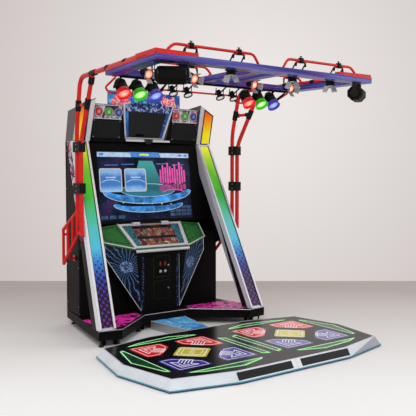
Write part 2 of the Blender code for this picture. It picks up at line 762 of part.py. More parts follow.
def body_side_x(y, inset=0.0):
    slope = (BODY_FRONT_X - CABINET_BACK_X) / (CABINET_BACK_Y - BODY_FRONT_Y)
    return BODY_FRONT_X - (y - BODY_FRONT_Y) * slope - inset


def body_solid(profile, inset):
    left = [(-body_side_x(y, inset), y, z) for y, z in profile]
    right = [(body_side_x(y, inset), y, z) for y, z in profile]
    return loft(left, right)


def wing_plate(side):
    """The side wall's corner that reaches forward to the pillar, above the open foot."""
    bend_z = body_profile()[1][1]

    front_y = BODY_FRONT_Y - GAP * 2
    lap_y = BODY_FRONT_Y + WING_LAP

    def corner(y, z, inset):
        share = (z - PLINTH_TOP) / (BODY_TOP - PLINTH_TOP)
        at_pillar = y < BODY_FRONT_Y - WING_LAP
        outer = pillar_point(1, 0, share, 1)[0] if at_pillar else body_side_x(BODY_FRONT_Y)
        return (side * (outer - inset), y, z)

    low_z = WING_LOW_Z - WING_DROP
    top_z = bend_z - GAP * 4
    outline = [(lap_y, low_z), (front_y, low_z), (pillar_back_y(WING_LOW_Z) + GAP, WING_LOW_Z),
               (pillar_back_y(bend_z) + GAP, top_z), (lap_y, top_z)]
    return loft([corner(y, z, WING_INSET) for y, z in outline],
                [corner(y, z, WING_INSET + WING_PLATE) for y, z in outline])


def build_body(finishes):
    profile = body_profile()
    shell = body_solid(profile, 0.0)
    centre_y = sum(y for y, _ in profile) / len(profile)
    inner = [(y + (BODY_WALL if y < centre_y else -BODY_WALL), z) for y, z in profile]
    inner[0] = (BODY_FRONT_Y - FAR_PAST, PLINTH_TOP + BODY_WALL)
    inner[1] = (BODY_FRONT_Y - FAR_PAST, profile[1][1])
    inner[2] = (profile[2][0] - FAR_PAST, BODY_TOP - BODY_WALL)
    inner[3] = (inner[3][0], BODY_TOP - BODY_WALL)
    inner[4] = (inner[4][0], PLINTH_TOP + BODY_WALL)
    hollow = body_solid(inner, BODY_WALL)
    doorway = block((-REAR_DOOR_HALF_WIDTH, CABINET_BACK_Y - FAR_PAST, REAR_DOOR_BOTTOM),
                    (REAR_DOOR_HALF_WIDTH, CABINET_BACK_Y + FAR_PAST, REAR_DOOR_TOP))
    body = cut(shell, hollow, doorway)
    # the lower front board closes the body behind the console, with a way through for the wiring
    half = BODY_FRONT_X - BODY_WALL / 2
    board = block((-half, BODY_FRONT_Y + GAP, PLINTH_TOP + BODY_WALL / 2),
                  (half, BODY_FRONT_Y + BODY_WALL, FRONT_BOARD_TOP))
    wiring = block((-WIRING_HALF_WIDTH, BODY_FRONT_Y - PAST, WIRING_LOW),
                   (WIRING_HALF_WIDTH, BODY_FRONT_Y + FAR_PAST, WIRING_HIGH))
    body = union(body, cut(board, wiring), wing_plate(1), wing_plate(-1))
    piece("body_shell", body, finishes["black"])

    back = CABINET_BACK_Y
    door = block((-REAR_DOOR_HALF_WIDTH + PRESS_GAP, back - DOOR_PLATE, REAR_DOOR_BOTTOM + PRESS_GAP),
                 (REAR_DOOR_HALF_WIDTH - PRESS_GAP, back, REAR_DOOR_TOP - PRESS_GAP))
    hinge = (-REAR_DOOR_HALF_WIDTH + PRESS_GAP, back, REAR_DOOR_BOTTOM)
    piece("rear_door", door, finishes["black"], hinge)


def head_profile(front, back, inset=0.0):
    """Y and Z round the head's side, with the given upper corners."""
    low_z = BODY_TOP + GAP + inset
    return [(HEAD_FRONT_Y + inset, low_z), (front[0] + inset, front[1] - inset),
            (back[0] - inset, back[1] - inset), (CABINET_BACK_Y - inset, low_z)]


def head_back_y(z):
    """The head's sloping back at a height."""
    share = (z - BODY_TOP) / (HEAD_MIDDLE_BACK_Z - BODY_TOP)
    return CABINET_BACK_Y + (HEAD_MIDDLE_BACK_Y - CABINET_BACK_Y) * share


def above_tower(side, drop=0.0):
    """All the room above one tower's slanting top, or above a plane lower by the drop."""
    def height(x, y):
        fall = TOWER_SIDE_FALL * (x - HEAD_MIDDLE_HALF_WIDTH) + TOWER_BACK_FALL * (y - TOWER_FRONT_Y)
        return TOWER_TOP_Z - fall - drop
    near_x, far_x = HEAD_MIDDLE_HALF_WIDTH - FAR_PAST, BODY_FRONT_X + FAR_PAST
    near_y, far_y = TOWER_FRONT_Y - FAR_PAST, CABINET_BACK_Y + FAR_PAST
    corners = [(near_x, near_y), (far_x, near_y), (far_x, far_y), (near_x, far_y)]
    roof = TOWER_TOP_Z + 2 * FAR_PAST
    return loft([(side * x, y, height(x, y)) for x, y in corners], [(side * x, y, roof) for x, y in corners])


def build_head(finishes):
    block_top = TOWER_TOP_Z + TOWER_TRIM
    block_back_z = block_top - TOWER_BACK_FALL * (head_back_y(block_top) - TOWER_FRONT_Y)
    tall = head_profile((TOWER_FRONT_Y, block_top), (head_back_y(block_back_z), block_back_z))
    outer = loft([(-body_side_x(y), y, z) for y, z in tall], [(body_side_x(y), y, z) for y, z in tall])
    # the middle's front and top, cut back between the towers
    front = (HEAD_MIDDLE_FRONT_Y, HEAD_MIDDLE_FRONT_Z)
    back = (HEAD_MIDDLE_BACK_Y, HEAD_MIDDLE_BACK_Z)
    ledge_share = (HEAD_LEDGE_Z - BODY_TOP) / (HEAD_MIDDLE_FRONT_Z - BODY_TOP)
    ledge_y = HEAD_FRONT_Y + (HEAD_MIDDLE_FRONT_Y - HEAD_FRONT_Y) * ledge_share
    past_y = CABINET_BACK_Y + FAR_PAST
    high_z = TOWER_TOP_Z + 2 * FAR_PAST
    recess = side_slab([(TOWER_FRONT_Y - FAR_PAST, HEAD_LEDGE_Z), (ledge_y, HEAD_LEDGE_Z), front,
                        (past_y, head_top_z(past_y)), (past_y, high_z), (TOWER_FRONT_Y - FAR_PAST, high_z)],
                       -HEAD_MIDDLE_HALF_WIDTH, HEAD_MIDDLE_HALF_WIDTH)
    hollow = side_slab(head_profile(front, back, BODY_WALL), -CABINET_BACK_X + BODY_WALL,
                       CABINET_BACK_X - BODY_WALL)
    hollow = cut(hollow, above_tower(1, TOWER_PLATE), above_tower(-1, TOWER_PLATE))
    # the opening for the upper monitor follows the monitor's frame
    margin = MARQUEE_FRAME + PRESS_GAP
    low = (MARQUEE_LOW_HALF_WIDTH + margin, MARQUEE_LOW_Z - margin)
    high = (MARQUEE_HIGH_HALF_WIDTH + margin, MARQUEE_HIGH_Z + margin * 0.3)
    mouth = [(-low[0], MARQUEE_LOW_Y, low[1]), (low[0], MARQUEE_LOW_Y, low[1]),
             (high[0], MARQUEE_HIGH_Y, high[1]), (-high[0], MARQUEE_HIGH_Y, high[1])]
    opening = loft(pushed(mouth, -2 * FAR_PAST), pushed(mouth, MARQUEE_DEPTH + PRESS_GAP))
    shell = cut(outer, above_tower(1), above_tower(-1), recess, hollow, opening)
    piece("head_shell", shell, finishes["black"])

    frame_corners = [(-low[0] + PRESS_GAP, MARQUEE_LOW_Y, low[1] + PRESS_GAP),
                     (low[0] - PRESS_GAP, MARQUEE_LOW_Y, low[1] + PRESS_GAP),
                     (high[0] - PRESS_GAP, MARQUEE_HIGH_Y, high[1] - PRESS_GAP),
                     (-high[0] + PRESS_GAP, MARQUEE_HIGH_Y, high[1] - PRESS_GAP)]
    top_z = MARQUEE_HIGH_Z - MARQUEE_TOP_TRIM
    screen_corners = [(-MARQUEE_LOW_HALF_WIDTH, MARQUEE_LOW_Y, MARQUEE_LOW_Z),
                      (MARQUEE_LOW_HALF_WIDTH, MARQUEE_LOW_Y, MARQUEE_LOW_Z),
                      (MARQUEE_HIGH_HALF_WIDTH, MARQUEE_HIGH_Y, top_z),
                      (-MARQUEE_HIGH_HALF_WIDTH, MARQUEE_HIGH_Y, top_z)]
    build_marquee(finishes, frame_corners, screen_corners)
    front = BOARD_Y - BOARD_THICKNESS
    board = block((-BOARD_HALF_WIDTH, front, head_top_z(front) + GAP),
                  (BOARD_HALF_WIDTH, BOARD_Y, BOARD_TOP))
    piece("header_board", board, finishes["header_blue"])


def head_top_z(y):
    """The height of the head's middle top."""
    share = (y - HEAD_MIDDLE_FRONT_Y) / (HEAD_MIDDLE_BACK_Y - HEAD_MIDDLE_FRONT_Y)
    return HEAD_MIDDLE_FRONT_Z + (HEAD_MIDDLE_BACK_Z - HEAD_MIDDLE_FRONT_Z) * share


def pushed(corners, distance):
    """The corners moved straight back."""
    return [(x, y + distance, z) for x, y, z in corners]


def build_marquee(finishes, frame_corners, screen_corners):
    frame = loft(frame_corners, pushed(frame_corners, MARQUEE_DEPTH))
    window = loft(pushed(screen_corners, -FAR_PAST), pushed(screen_corners, 2 * FAR_PAST))
    piece("marquee_frame", cut(frame, window), finishes["silver"])
    front = pushed(shrunk(screen_corners, 2 * PRESS_GAP / MARQUEE_SPAN), MARQUEE_SET_BACK)
    display = loft(front, pushed(front, MARQUEE_THICKNESS))
    piece("marquee_display", display, finishes["screen_black"])


def shrunk(ring, share):
    """The four corners drawn in towards their middle by a share of the way."""
    corners = [Vector(corner) for corner in ring]
    centre = sum(corners, Vector()) / len(corners)
    return [tuple(centre + (corner - centre) * (1 - share)) for corner in corners]


# ======================= main display =======================

def screen_point(x, along, behind):
    """A point on the main display's plane: along 0 at its lower edge and 1 at its upper."""
    low = Vector((x, SCREEN_LOW_Y, SCREEN_LOW_Z))
    rise = Vector((0, SCREEN_HIGH_Y - SCREEN_LOW_Y, SCREEN_HIGH_Z - SCREEN_LOW_Z))
    back = Vector((0, rise.z, -rise.y)).normalized()
    return low + rise * along + back * behind


def screen_share(z):
    return (z - SCREEN_LOW_Z) / (SCREEN_HIGH_Z - SCREEN_LOW_Z)


def screen_slab(half_width, low, high, front, back):
    """A slab parallel to the display; low and high are metres past its edges."""
    length = math.hypot(SCREEN_HIGH_Y - SCREEN_LOW_Y, SCREEN_HIGH_Z - SCREEN_LOW_Z)
    start = -low / length
    stop = 1 + high / length

    def ring(behind):
        return [screen_point(-half_width, start, behind), screen_point(half_width, start, behind),
                screen_point(half_width, stop, behind), screen_point(-half_width, stop, behind)]
    return loft(ring(front), ring(back))


def bezel_step_z():
    """The height, a little below where the display's plane crosses the pillars' backs."""
    rise = SCREEN_HIGH_Z - SCREEN_LOW_Z
    screen_slope = (SCREEN_HIGH_Y - SCREEN_LOW_Y) / rise
    pillar_slope = (pillar_back_y(SCREEN_HIGH_Z) - pillar_back_y(SCREEN_LOW_Z)) / rise
    ahead = SCREEN_LOW_Y - pillar_back_y(SCREEN_LOW_Z)
    return SCREEN_LOW_Z + ahead / (pillar_slope - screen_slope) - BEZEL_STEP_ROOM


def bezel_mesh():
    """The black surround: wall to wall below, and between the pillars above the step."""
    low_z = SCREEN_LOW_Z - BEZEL_LOW_MARGIN
    high_z = SCREEN_HIGH_Z + BEZEL_HIGH_MARGIN

    def wall_x(z):
        return body_side_x(screen_point(0, screen_share(z), BEZEL_THICKNESS).y, BODY_WALL) - GAP

    def pillar_x(z):
        share = (z - PLINTH_TOP) / (BODY_TOP - PLINTH_TOP)
        return pillar_point(0, 0, share, 1)[0] - GAP * 2

    step = bezel_step_z()
    right = [(wall_x(low_z), low_z), (wall_x(step), step), (pillar_x(step), step),
             (pillar_x(high_z), high_z)]

    def ring(behind):
        return [screen_point(x, screen_share(z), behind) for x, z in both_sides(right)]
    return loft(ring(0.0), ring(BEZEL_THICKNESS))


def build_screen(finishes):
    bezel = bezel_mesh()
    window = screen_slab(SCREEN_HALF_WIDTH, 0, 0, -FAR_PAST, FAR_PAST)
    piece("screen_bezel", cut(bezel, window), finishes["black"])
    display = screen_slab(SCREEN_HALF_WIDTH + SCREEN_OVERLAP, SCREEN_OVERLAP, SCREEN_OVERLAP,
                          BEZEL_THICKNESS + GAP, BEZEL_THICKNESS + DISPLAY_THICKNESS)
    glass = screen_slab(SCREEN_HALF_WIDTH - PRESS_GAP, -PRESS_GAP, -PRESS_GAP,
                        GLASS_SET_BACK, BEZEL_THICKNESS + PAST)
    piece("main_display", union(display, glass), finishes["screen_blue"])


# ======================= console =======================

def console_outline(drop):
    """The console top's four outer plates: panel, left wing and right wing corners."""
    front_z = PANEL_FRONT_Z - drop
    back_z = PANEL_BACK_Z - drop
    panel = [(-PANEL_FRONT_X, PANEL_FRONT_Y, front_z), (PANEL_FRONT_X, PANEL_FRONT_Y, front_z),
             (PANEL_BACK_X, PANEL_BACK_Y, back_z), (-PANEL_BACK_X, PANEL_BACK_Y, back_z)]
    wing = [panel[1], (WING_OUTER_X, WING_OUTER_Y, WING_OUTER_Z - drop),
            (WING_BACK_X, PANEL_BACK_Y, WING_BACK_Z - drop), panel[2]]
    return panel, wing


def hull(points):
    shape = bmesh.new()
    for point in points:
        shape.verts.new(point)
    result = bmesh.ops.convex_hull(shape, input=shape.verts)
    spare = [item for item in result["geom_interior"] if isinstance(item, bmesh.types.BMVert)]
    bmesh.ops.delete(shape, geom=spare, context="VERTS")
    bmesh.ops.dissolve_limit(shape, angle_limit=0.001, verts=shape.verts, edges=shape.edges)
    return mesh_from(shape, "hull")


def build_console(finishes):
    panel, wing = console_outline(0.0)
    low_panel, low_wing = console_outline(TOP_PLATE)
    plate = hull(panel + low_panel)
    right = hull(wing + low_wing)
    top = union(plate, right, mirrored(right))
    touch, touch_low = touch_corners()
    seat = loft(touch, touch_low)
    piece("console_top", cut(top, seat), finishes["green"])

    # the body under the plate: a podium with two flanks that spread up to the wings
    panel, wing = console_outline(TOP_PLATE + GAP)
    back = BODY_FRONT_Y - GAP
    foot_z = PLINTH_TOP + GAP
    lip = BODY_LIP

    def under_panel(y):
        slope = (panel[3][2] - panel[0][2]) / (PANEL_BACK_Y - PANEL_FRONT_Y)
        return panel[0][2] + slope * (y - PANEL_FRONT_Y)

    wing_slope = (wing[2][2] - wing[1][2]) / (PANEL_BACK_Y - WING_OUTER_Y)
    wing_back_z = wing[1][2] + wing_slope * (back - WING_OUTER_Y)
    low_z = wing[1][2] - FLANK_DEPTH
    flank_x = PANEL_FRONT_X - lip
    front_x = WING_OUTER_X - lip
    back_x = WING_OUTER_X - WING_SIDE_LIP
    half = [(PODIUM_HALF_WIDTH, PODIUM_FRONT_Y, foot_z), (PODIUM_HALF_WIDTH, back, foot_z),
            (flank_x, PANEL_FRONT_Y + lip, under_panel(PANEL_FRONT_Y + lip)),
            (flank_x, back, under_panel(back)),
            (front_x, WING_OUTER_Y + WING_LIP, wing[1][2] - WING_LIP),
            (front_x, WING_OUTER_Y + WING_LIP, low_z),
            (back_x, back, wing_back_z - WING_LIP), (back_x, back, low_z)]
    podium = hull(half + [(-x, y, z) for x, y, z in half])
    recess = block((-PODIUM_HALF_WIDTH, PODIUM_FRONT_Y - 4 * FAR_PAST, 0.0),
                   (PODIUM_HALF_WIDTH, PODIUM_FRONT_Y, BAR_Z - RECESS_BELOW_BAR))
    inside = block((-INSIDE_HALF_WIDTH, PODIUM_FRONT_Y + PODIUM_WALL, INSIDE_LOW),
                   (INSIDE_HALF_WIDTH, back + FAR_PAST, INSIDE_HIGH))
    doorways = []
    for bottom, top in ((COIN_DOOR_BOTTOM, COIN_DOOR_TOP), (CASH_DOOR_BOTTOM, CASH_DOOR_TOP)):
        seat = FAR_PAST + SMALL_DOOR_PLATE + GAP
        doorways.append(door_block(bottom, top, PRESS_GAP, -FAR_PAST, seat))
        doorways.append(door_block(bottom, top, -DOOR_STOP, -FAR_PAST, 2 * FAR_PAST))
    bar_y = PANEL_FRONT_Y - BAR_SETBACK
    bar = tube([(-BAR_HALF_WIDTH, bar_y, BAR_Z), (BAR_HALF_WIDTH, bar_y, BAR_Z)], BAR_RADIUS)
    arm = BAR_BRACKET_HALF
    arm_back = bar_y + FAR_PAST + arm
    brackets = [block((x - arm, bar_y - arm / 4, BAR_Z - arm), (x + arm, arm_back, BAR_Z + arm / 3))
                for x in (-BAR_BRACKET_X, BAR_BRACKET_X)]
    body = cut(podium, recess, inside, *doorways)
    piece("console_body", union(body, bar, *brackets), finishes["black"])
    build_touch_screen(finishes)
    build_doors(finishes)


def touch_corners():
    """The touch screen's seat in the console top, as its upper and lower outline."""
    rise = Vector((0, PANEL_BACK_Y - PANEL_FRONT_Y, PANEL_BACK_Z - PANEL_FRONT_Z))
    up = Vector((0, -rise.z, rise.y)).normalized()

    def point(across, along, lift):
        half = PANEL_FRONT_X + (PANEL_BACK_X - PANEL_FRONT_X) * along
        base = Vector((0, PANEL_FRONT_Y, PANEL_FRONT_Z)) + rise * along + up * lift
        return (across * (half - TOUCH_MARGIN), base.y, base.z)

    def ring(lift):
        return [point(-1, TOUCH_LOW, lift), point(1, TOUCH_LOW, lift),
                point(1, TOUCH_HIGH, lift), point(-1, TOUCH_HIGH, lift)]
    return ring(SEAT_RISE), ring(-TOUCH_PLATE)


def build_touch_screen(finishes):
    upper, lower = touch_corners()

    def level(height):
        share = height / (TOUCH_PLATE + SEAT_RISE)
        ring = [Vector(low).lerp(Vector(high), share) for low, high in zip(lower, upper)]
        return shrunk(ring, PRESS_GAP / TOUCH_HEIGHT)
    piece("touch_screen", loft(level(GAP), level(TOUCH_PLATE + TOUCH_PROUD)), finishes["screen_black"])


def door_block(bottom, top, growth, front, depth):
    return block((COIN_X - COIN_HALF_WIDTH - growth, PODIUM_FRONT_Y + front, bottom - growth),
                 (COIN_X + COIN_HALF_WIDTH + growth, PODIUM_FRONT_Y + front + depth, top + growth))


def button_centres():
    middle = COIN_X + BUTTON_SHIFT
    return [(middle - BUTTON_SPACING / 2, "left"), (middle + BUTTON_SPACING / 2, "right")]


def build_doors(finishes):
    hinge_x = COIN_X - COIN_HALF_WIDTH
    front = PODIUM_FRONT_Y
    door = door_block(COIN_DOOR_BOTTOM, COIN_DOOR_TOP, 0.0, 0.0, SMALL_DOOR_PLATE)
    holes = []
    half = BUTTON_SIZE / 2
    hole = half + PRESS_GAP
    through = (front - PAST, front + 2 * PAST)
    for x, _ in button_centres():
        holes.append(block((x - hole, through[0], BUTTON_Z - hole), (x + hole, through[1], BUTTON_Z + hole)))
        holes.append(block((x - SLOT_HALF_WIDTH, through[0], BUTTON_Z + SLOT_LOW),
                           (x + SLOT_HALF_WIDTH, through[1], BUTTON_Z + SLOT_HIGH)))
    piece("coin_door", cut(door, *holes), finishes["door_black"], (hinge_x, front, COIN_DOOR_BOTTOM))
    for x, name in button_centres():
        key = block((x - half, front - BUTTON_PROUD, BUTTON_Z - half),
                    (x + half, front + BUTTON_STEM, BUTTON_Z + half))
        piece(f"reject_button_{name}", key, finishes["grey"], (x, front, BUTTON_Z))
    cash = door_block(CASH_DOOR_BOTTOM, CASH_DOOR_TOP, 0.0, 0.0, SMALL_DOOR_PLATE)
    piece("cash_door", cash, finishes["door_black"], (hinge_x, front, CASH_DOOR_BOTTOM))


def build_inside(finishes):
    width, depth, height = COMPUTER_SIZE
    floor = PLINTH_TOP + BODY_WALL + GAP
    back = CABINET_BACK_Y - BODY_WALL - COMPUTER_BACK_ROOM
    case = block((-width / 2, back - depth, floor), (width / 2, back, floor + height))
    vent_x = -width / 2 + VENT_INSET
    vent_z = floor + VENT_LOW
    vent = block((vent_x, back - VENT_DEPTH, vent_z),
                 (vent_x + VENT_WIDTH, back + PAST, vent_z + VENT_HEIGHT))
    piece("game_computer", cut(case, vent), finishes["grey"])
    width, depth, height = CASH_BOX_SIZE
    low = INSIDE_LOW + GAP
    front = PODIUM_FRONT_Y + PODIUM_WALL + CASH_BOX_FRONT_ROOM
    wall = CASH_BOX_WALL
    shell = block((COIN_X - width / 2, front, low), (COIN_X + width / 2, front + depth, low + height))
    hollow = block((COIN_X - width / 2 + wall, front + wall, low + wall),
                   (COIN_X + width / 2 - wall, front + depth - wall, low + height + PAST))
    piece("cash_box", cut(shell, hollow), finishes["grey"])


# ======================= side frames =======================

def side_frame_mesh():
    """The right frame: two bent tubes, their strut and clamps, the ladder bracket and the cap."""
    arm_z = ROOF_TOP + TUBE_RADIUS + GAP
    rear = rounded_path([(POST_X, REAR_POST_Y, POST_BOTTOM), (POST_X, REAR_POST_Y, REAR_BEND_Z),
                         (ARM_BACK_X, ARM_BACK_Y, arm_z), (ARM_FRONT_X, ARM_FRONT_Y, arm_z)], BEND_RADIUS)
    share = (ARM_BACK_Y - ARM_JOINT_Y) / (ARM_BACK_Y - ARM_FRONT_Y)
    joint_x = ARM_BACK_X + (ARM_FRONT_X - ARM_BACK_X) * share
    front = rounded_path([(POST_X, FRONT_POST_Y, POST_BOTTOM), (POST_X, FRONT_POST_Y, FRONT_BEND_Z),
                          (joint_x, ARM_JOINT_Y, arm_z)], BEND_RADIUS)
    parts = [tube(front, TUBE_RADIUS)]
    tie_z = POST_BOTTOM + FOOT_TIE_RISE
    past = GAP * 3
    parts.append(tube([(POST_X, REAR_POST_Y + past, tie_z), (POST_X, FRONT_POST_Y - past, tie_z)],
                      LADDER_RADIUS))
    rear_bend = Vector((POST_X, REAR_POST_Y, REAR_BEND_Z))
    front_bend = Vector((POST_X, FRONT_POST_Y, FRONT_BEND_Z))
    rear_end = rear_bend.lerp(Vector((ARM_BACK_X, ARM_BACK_Y, arm_z)),
                              (STRUT_Z - REAR_BEND_Z) / (arm_z - REAR_BEND_Z))
    front_end = front_bend.lerp(Vector((joint_x, ARM_JOINT_Y, arm_z)),
                                (STRUT_Z - FRONT_BEND_Z) / (arm_z - FRONT_BEND_Z))
    parts.append(tube([rear_end, front_end], LADDER_RADIUS))
    for z in CLAMP_HEIGHTS:
        parts.append(block((POST_X - CLAMP_HALF_WIDTH, FRONT_POST_Y - CLAMP_REACH, z),
                           (POST_X + CLAMP_HALF_WIDTH, REAR_POST_Y + CLAMP_REACH, z + CLAMP_HEIGHT)))
    parts += ladder_parts()
    parts.append(corner_cap())
    return union(tube(rear, TUBE_RADIUS), *parts)


def ladder_parts():
    low_front = Vector((POST_X, REAR_POST_Y, POST_BOTTOM + PAST))
    low_back = Vector((POST_X, LADDER_BACK_Y, LADDER_LOW_BACK_Z))
    high_front = Vector((POST_X, REAR_POST_Y, LADDER_HIGH_FRONT_Z))
    high_back = Vector((POST_X, LADDER_BACK_Y, LADDER_HIGH_BACK_Z))
    end = Vector((0, GAP * 3, 0))
    lap = Vector((0, 0, GAP * 12))
    parts = [tube([low_front, low_back + end], LADDER_RADIUS),
             tube([high_front, high_back + end], LADDER_RADIUS)]
    for share in RUNG_SHARES:
        low = low_front.lerp(low_back, share) - lap
        high = high_front.lerp(high_back, share) + lap
        parts.append(tube([low, high], RUNG_RADIUS))
    wall = body_side_x(LADDER_BACK_Y) + GAP + FLANGE_PLATE / 2
    for z in (LADDER_LOW_BACK_Z + LEG_INSET, LADDER_HIGH_BACK_Z - LEG_INSET):
        parts.append(rod((wall, LADDER_BACK_Y, z), (POST_X, LADDER_BACK_Y, z), LEG_RADIUS, 8))
        parts.append(loft(flange_ring(z, 0.0), flange_ring(z, FLANGE_PLATE)))
    return parts


def flange_ring(z, reach):
    """A square on the body's slanted side, or parallel to it at the given distance."""
    half = FLANGE_HALF
    corners = ((-half, -half), (half, -half), (half, half), (-half, half))
    return [(body_side_x(LADDER_BACK_Y + along) + GAP + reach, LADDER_BACK_Y + along, z + up)
            for along, up in corners]


def corner_cap():
    """The folded red plate on the roof's front corner that the arm runs into."""
    x = ROOF_FRONT_X
    y = ROOF_FRONT_Y
    inner_x = x - CAP_LENGTH
    outline = [(x, y + CAP_FRONT / 3), (x - CAP_WIDTH / 6, y + CAP_DEPTH), (x - CAP_WIDTH, y + CAP_DEPTH),
               (x - CAP_LENGTH * 0.40, y + CAP_DEPTH * 0.59), (x - CAP_LENGTH * 0.60, y + CAP_DEPTH * 0.31),
               (inner_x, y + CAP_BACK), (inner_x, y + CAP_FRONT)]
    return prism(outline, ROOF_TOP + GAP, ROOF_TOP + GAP + CORNER_CAP)


def build_side_frames(finishes):
    right = side_frame_mesh()
    piece("side_frame_left", mirrored(right), finishes["red_paint"])
    piece("side_frame_right", right, finishes["red_paint"])


# ======================= roof =======================

def end_beam_x(y, inset=0.0):
    share = (y - ROOF_FRONT_Y) / (ROOF_BACK_Y - ROOF_FRONT_Y)
    return ROOF_FRONT_X + (ROOF_BACK_X - ROOF_FRONT_X) * share - inset


def corner_matrix(side):
    turn = Matrix.Rotation(side * CORNER_LAMP_TURN, 4, "Z")
    return Matrix.Translation((side * CORNER_LAMP_X, CORNER_LAMP_Y, CORNER_LAMP_Z)) @ turn


def build_roof(finishes):
    outline = both_sides([(ROOF_FRONT_X, ROOF_FRONT_Y), (ROOF_BACK_X, ROOF_BACK_Y)])
    plate = prism(outline, ROOF_BOTTOM, ROOF_TOP)
    front = ROOF_FRONT_Y + FRONT_BEAM
    back = ROOF_BACK_Y - REAR_BEAM
    inner = SPINE_X - SPINE_WIDTH / 2
    outer = SPINE_X + SPINE_WIDTH / 2
    low = ROOF_BOTTOM - PAST
    high = ROOF_TOP + PAST
    middle = block((-inner, front, low), (inner, back, high))
    bay = prism([(outer + GUSSET, front), (end_beam_x(front, END_BEAM), front),
                 (end_beam_x(back, END_BEAM), back), (outer, back), (outer, front + GUSSET)], low, high)
    roof = cut(plate, middle, bay, mirrored(bay))
    yokes = corner_yoke(1) + corner_yoke(-1)
    piece("roof_frame", union(roof, *yokes), finishes["printed_purple"])


def corner_yoke(side):
    """The bracket that a corner lamp hangs in: two arms, a bridge and a stem into the roof."""
    matrix = corner_matrix(side)
    roof_z = ROOF_BOTTOM - CORNER_LAMP_Z
    top = roof_z - CORNER_YOKE_TOP
    plate = CORNER_YOKE_PLATE
    depth = CORNER_YOKE_HALF
    inner = CORNER_LAMP_LENGTH / 2 + CORNER_YOKE_GAP - plate / 2
    reach = inner + plate
    parts = [block((-reach, -depth, top - plate), (reach, depth, top)),
             rod((0, 0, top - plate / 2), (0, 0, roof_z + PAST), CORNER_STEM_RADIUS, 10)]
    for low, high in ((-reach, -inner), (inner, reach)):
        parts.append(block((low, -depth, -depth), (high, depth, top - plate / 3)))
    return [moved(part, matrix) for part in parts]


def rail_mesh(rail_y, top, outer_x, outer_foot, spot_y, spot_z):
    """A bent rail on the roof's right half, with the yokes of its two spot lamps."""
    inner_foot = ROOF_TOP + GAP
    stub = RAIL_STUB
    path = rounded_path([(RAIL_INNER_X, rail_y, inner_foot), (RAIL_INNER_X, rail_y, inner_foot + stub),
                         (RAIL_INNER_X + RAIL_SLOPE, rail_y, top), (outer_x - RAIL_SLOPE, rail_y, top),
                         (outer_x, rail_y, outer_foot + stub), (outer_x, rail_y, outer_foot)], RAIL_BEND, 2)
    parts = []
    for x, foot in ((RAIL_INNER_X, inner_foot), (outer_x, outer_foot)):
        parts.append(rod((x, rail_y, foot), (x, rail_y, foot + RAIL_FOOT_PLATE), RAIL_FOOT_RADIUS, 10))
    half = RAIL_CLAMP_HALF
    for x in SPOT_X:
        parts.append(block((x - half, rail_y - half, top - half), (x + half, rail_y + half, top + half)))
        parts += yoke_parts(x, rail_y, top, spot_y, spot_z)
    return union(tube(path, RAIL_RADIUS), *parts)


def yoke_parts(x, rail_y, top, spot_y, spot_z):
    """A hanging bracket from the rail's clamp down to both ends of the lamp's bolt."""
    half = YOKE_DEPTH / 2
    bridge_z = top - BRIDGE_DROP
    end_z = spot_z - YOKE_BELOW_BOLT

    def ring(plate_x):
        return [(plate_x, rail_y - half, bridge_z), (plate_x, rail_y + half, bridge_z),
                (plate_x, spot_y + half, end_z), (plate_x, spot_y - half, end_z)]
    arms = []
    for side in (-1, 1):
        inner = x + side * YOKE_HALF_WIDTH
        outer = inner + side * YOKE_PLATE
        arms.append(loft(ring(inner), ring(outer)))
    reach = YOKE_HALF_WIDTH + YOKE_PLATE
    arms.append(block((x - reach, rail_y - half, bridge_z - YOKE_PLATE / 2),
                      (x + reach, rail_y + half, bridge_z + YOKE_PLATE)))
    return arms


def build_rails(finishes):
    cap_top = ROOF_TOP + GAP + CORNER_CAP + GAP
    front = rail_mesh(FRONT_RAIL_Y, FRONT_RAIL_TOP, FRONT_RAIL_OUTER_X, cap_top, FRONT_SPOT_Y, FRONT_SPOT_Z)
    middle = rail_mesh(MID_RAIL_Y, MID_RAIL_TOP, MID_RAIL_OUTER_X, ROOF_TOP + GAP, MID_SPOT_Y, MID_SPOT_Z)
    for name, right in (("front_rail", front), ("mid_rail", middle)):
        piece(f"{name}_left", mirrored(right), finishes["red_paint"])
        piece(f"{name}_right", right, finishes["red_paint"])


def spot_mesh():
    """A spot lamp about its tilt bolt, shining along -Z: a can, its bolt and four flaps."""
    well_z = -SPOT_FRONT + SPOT_WELL
    can = turned([(0, SPOT_REAR), (SPOT_NECK, SPOT_REAR), (SPOT_RADIUS, SPOT_SHOULDER),
                  (SPOT_RADIUS, -SPOT_FRONT), (SPOT_MOUTH, -SPOT_FRONT), (SPOT_MOUTH, well_z), (0, well_z)],
                 12, (0, 0, 0), (0, 0, 1))
    reach = YOKE_HALF_WIDTH - GAP
    bolt = rod((-reach, 0, 0), (reach, 0, 0), BOLT_RADIUS, 8)

    def flap_end(half, out, z):
        return [(-half, out, z), (half, out, z), (half, out + FLAP_PLATE, z), (-half, out + FLAP_PLATE, z)]
    flap = loft(flap_end(FLAP_NEAR_HALF, FLAP_NEAR_OUT, FLAP_NEAR_Z),
                flap_end(FLAP_FAR_HALF, FLAP_FAR_OUT, FLAP_FAR_Z))
    flaps = [moved(flap, Matrix.Rotation(quarter * math.pi / 2, 4, "Z")) for quarter in range(4)]
    return union(can, bolt, *flaps)


def build_spots(finishes):
    base = spot_mesh()
    rows = (("front_spot", FRONT_SPOT_Y, FRONT_SPOT_Z, 0.0),
            ("mid_spot", MID_SPOT_Y, MID_SPOT_Z, MID_SPOT_TILT))
    for row, y, z, tilt in rows:
        for number, x in enumerate([-SPOT_X[1], -SPOT_X[0], SPOT_X[0], SPOT_X[1]], start=1):
            item = piece(f"{row}_{number}", base.copy(), finishes["lamp_black"])
            item.location = (x, y, z)
            item.rotation_euler = (tilt, 0, 0)


# ======================= lamps over the rear beam =======================

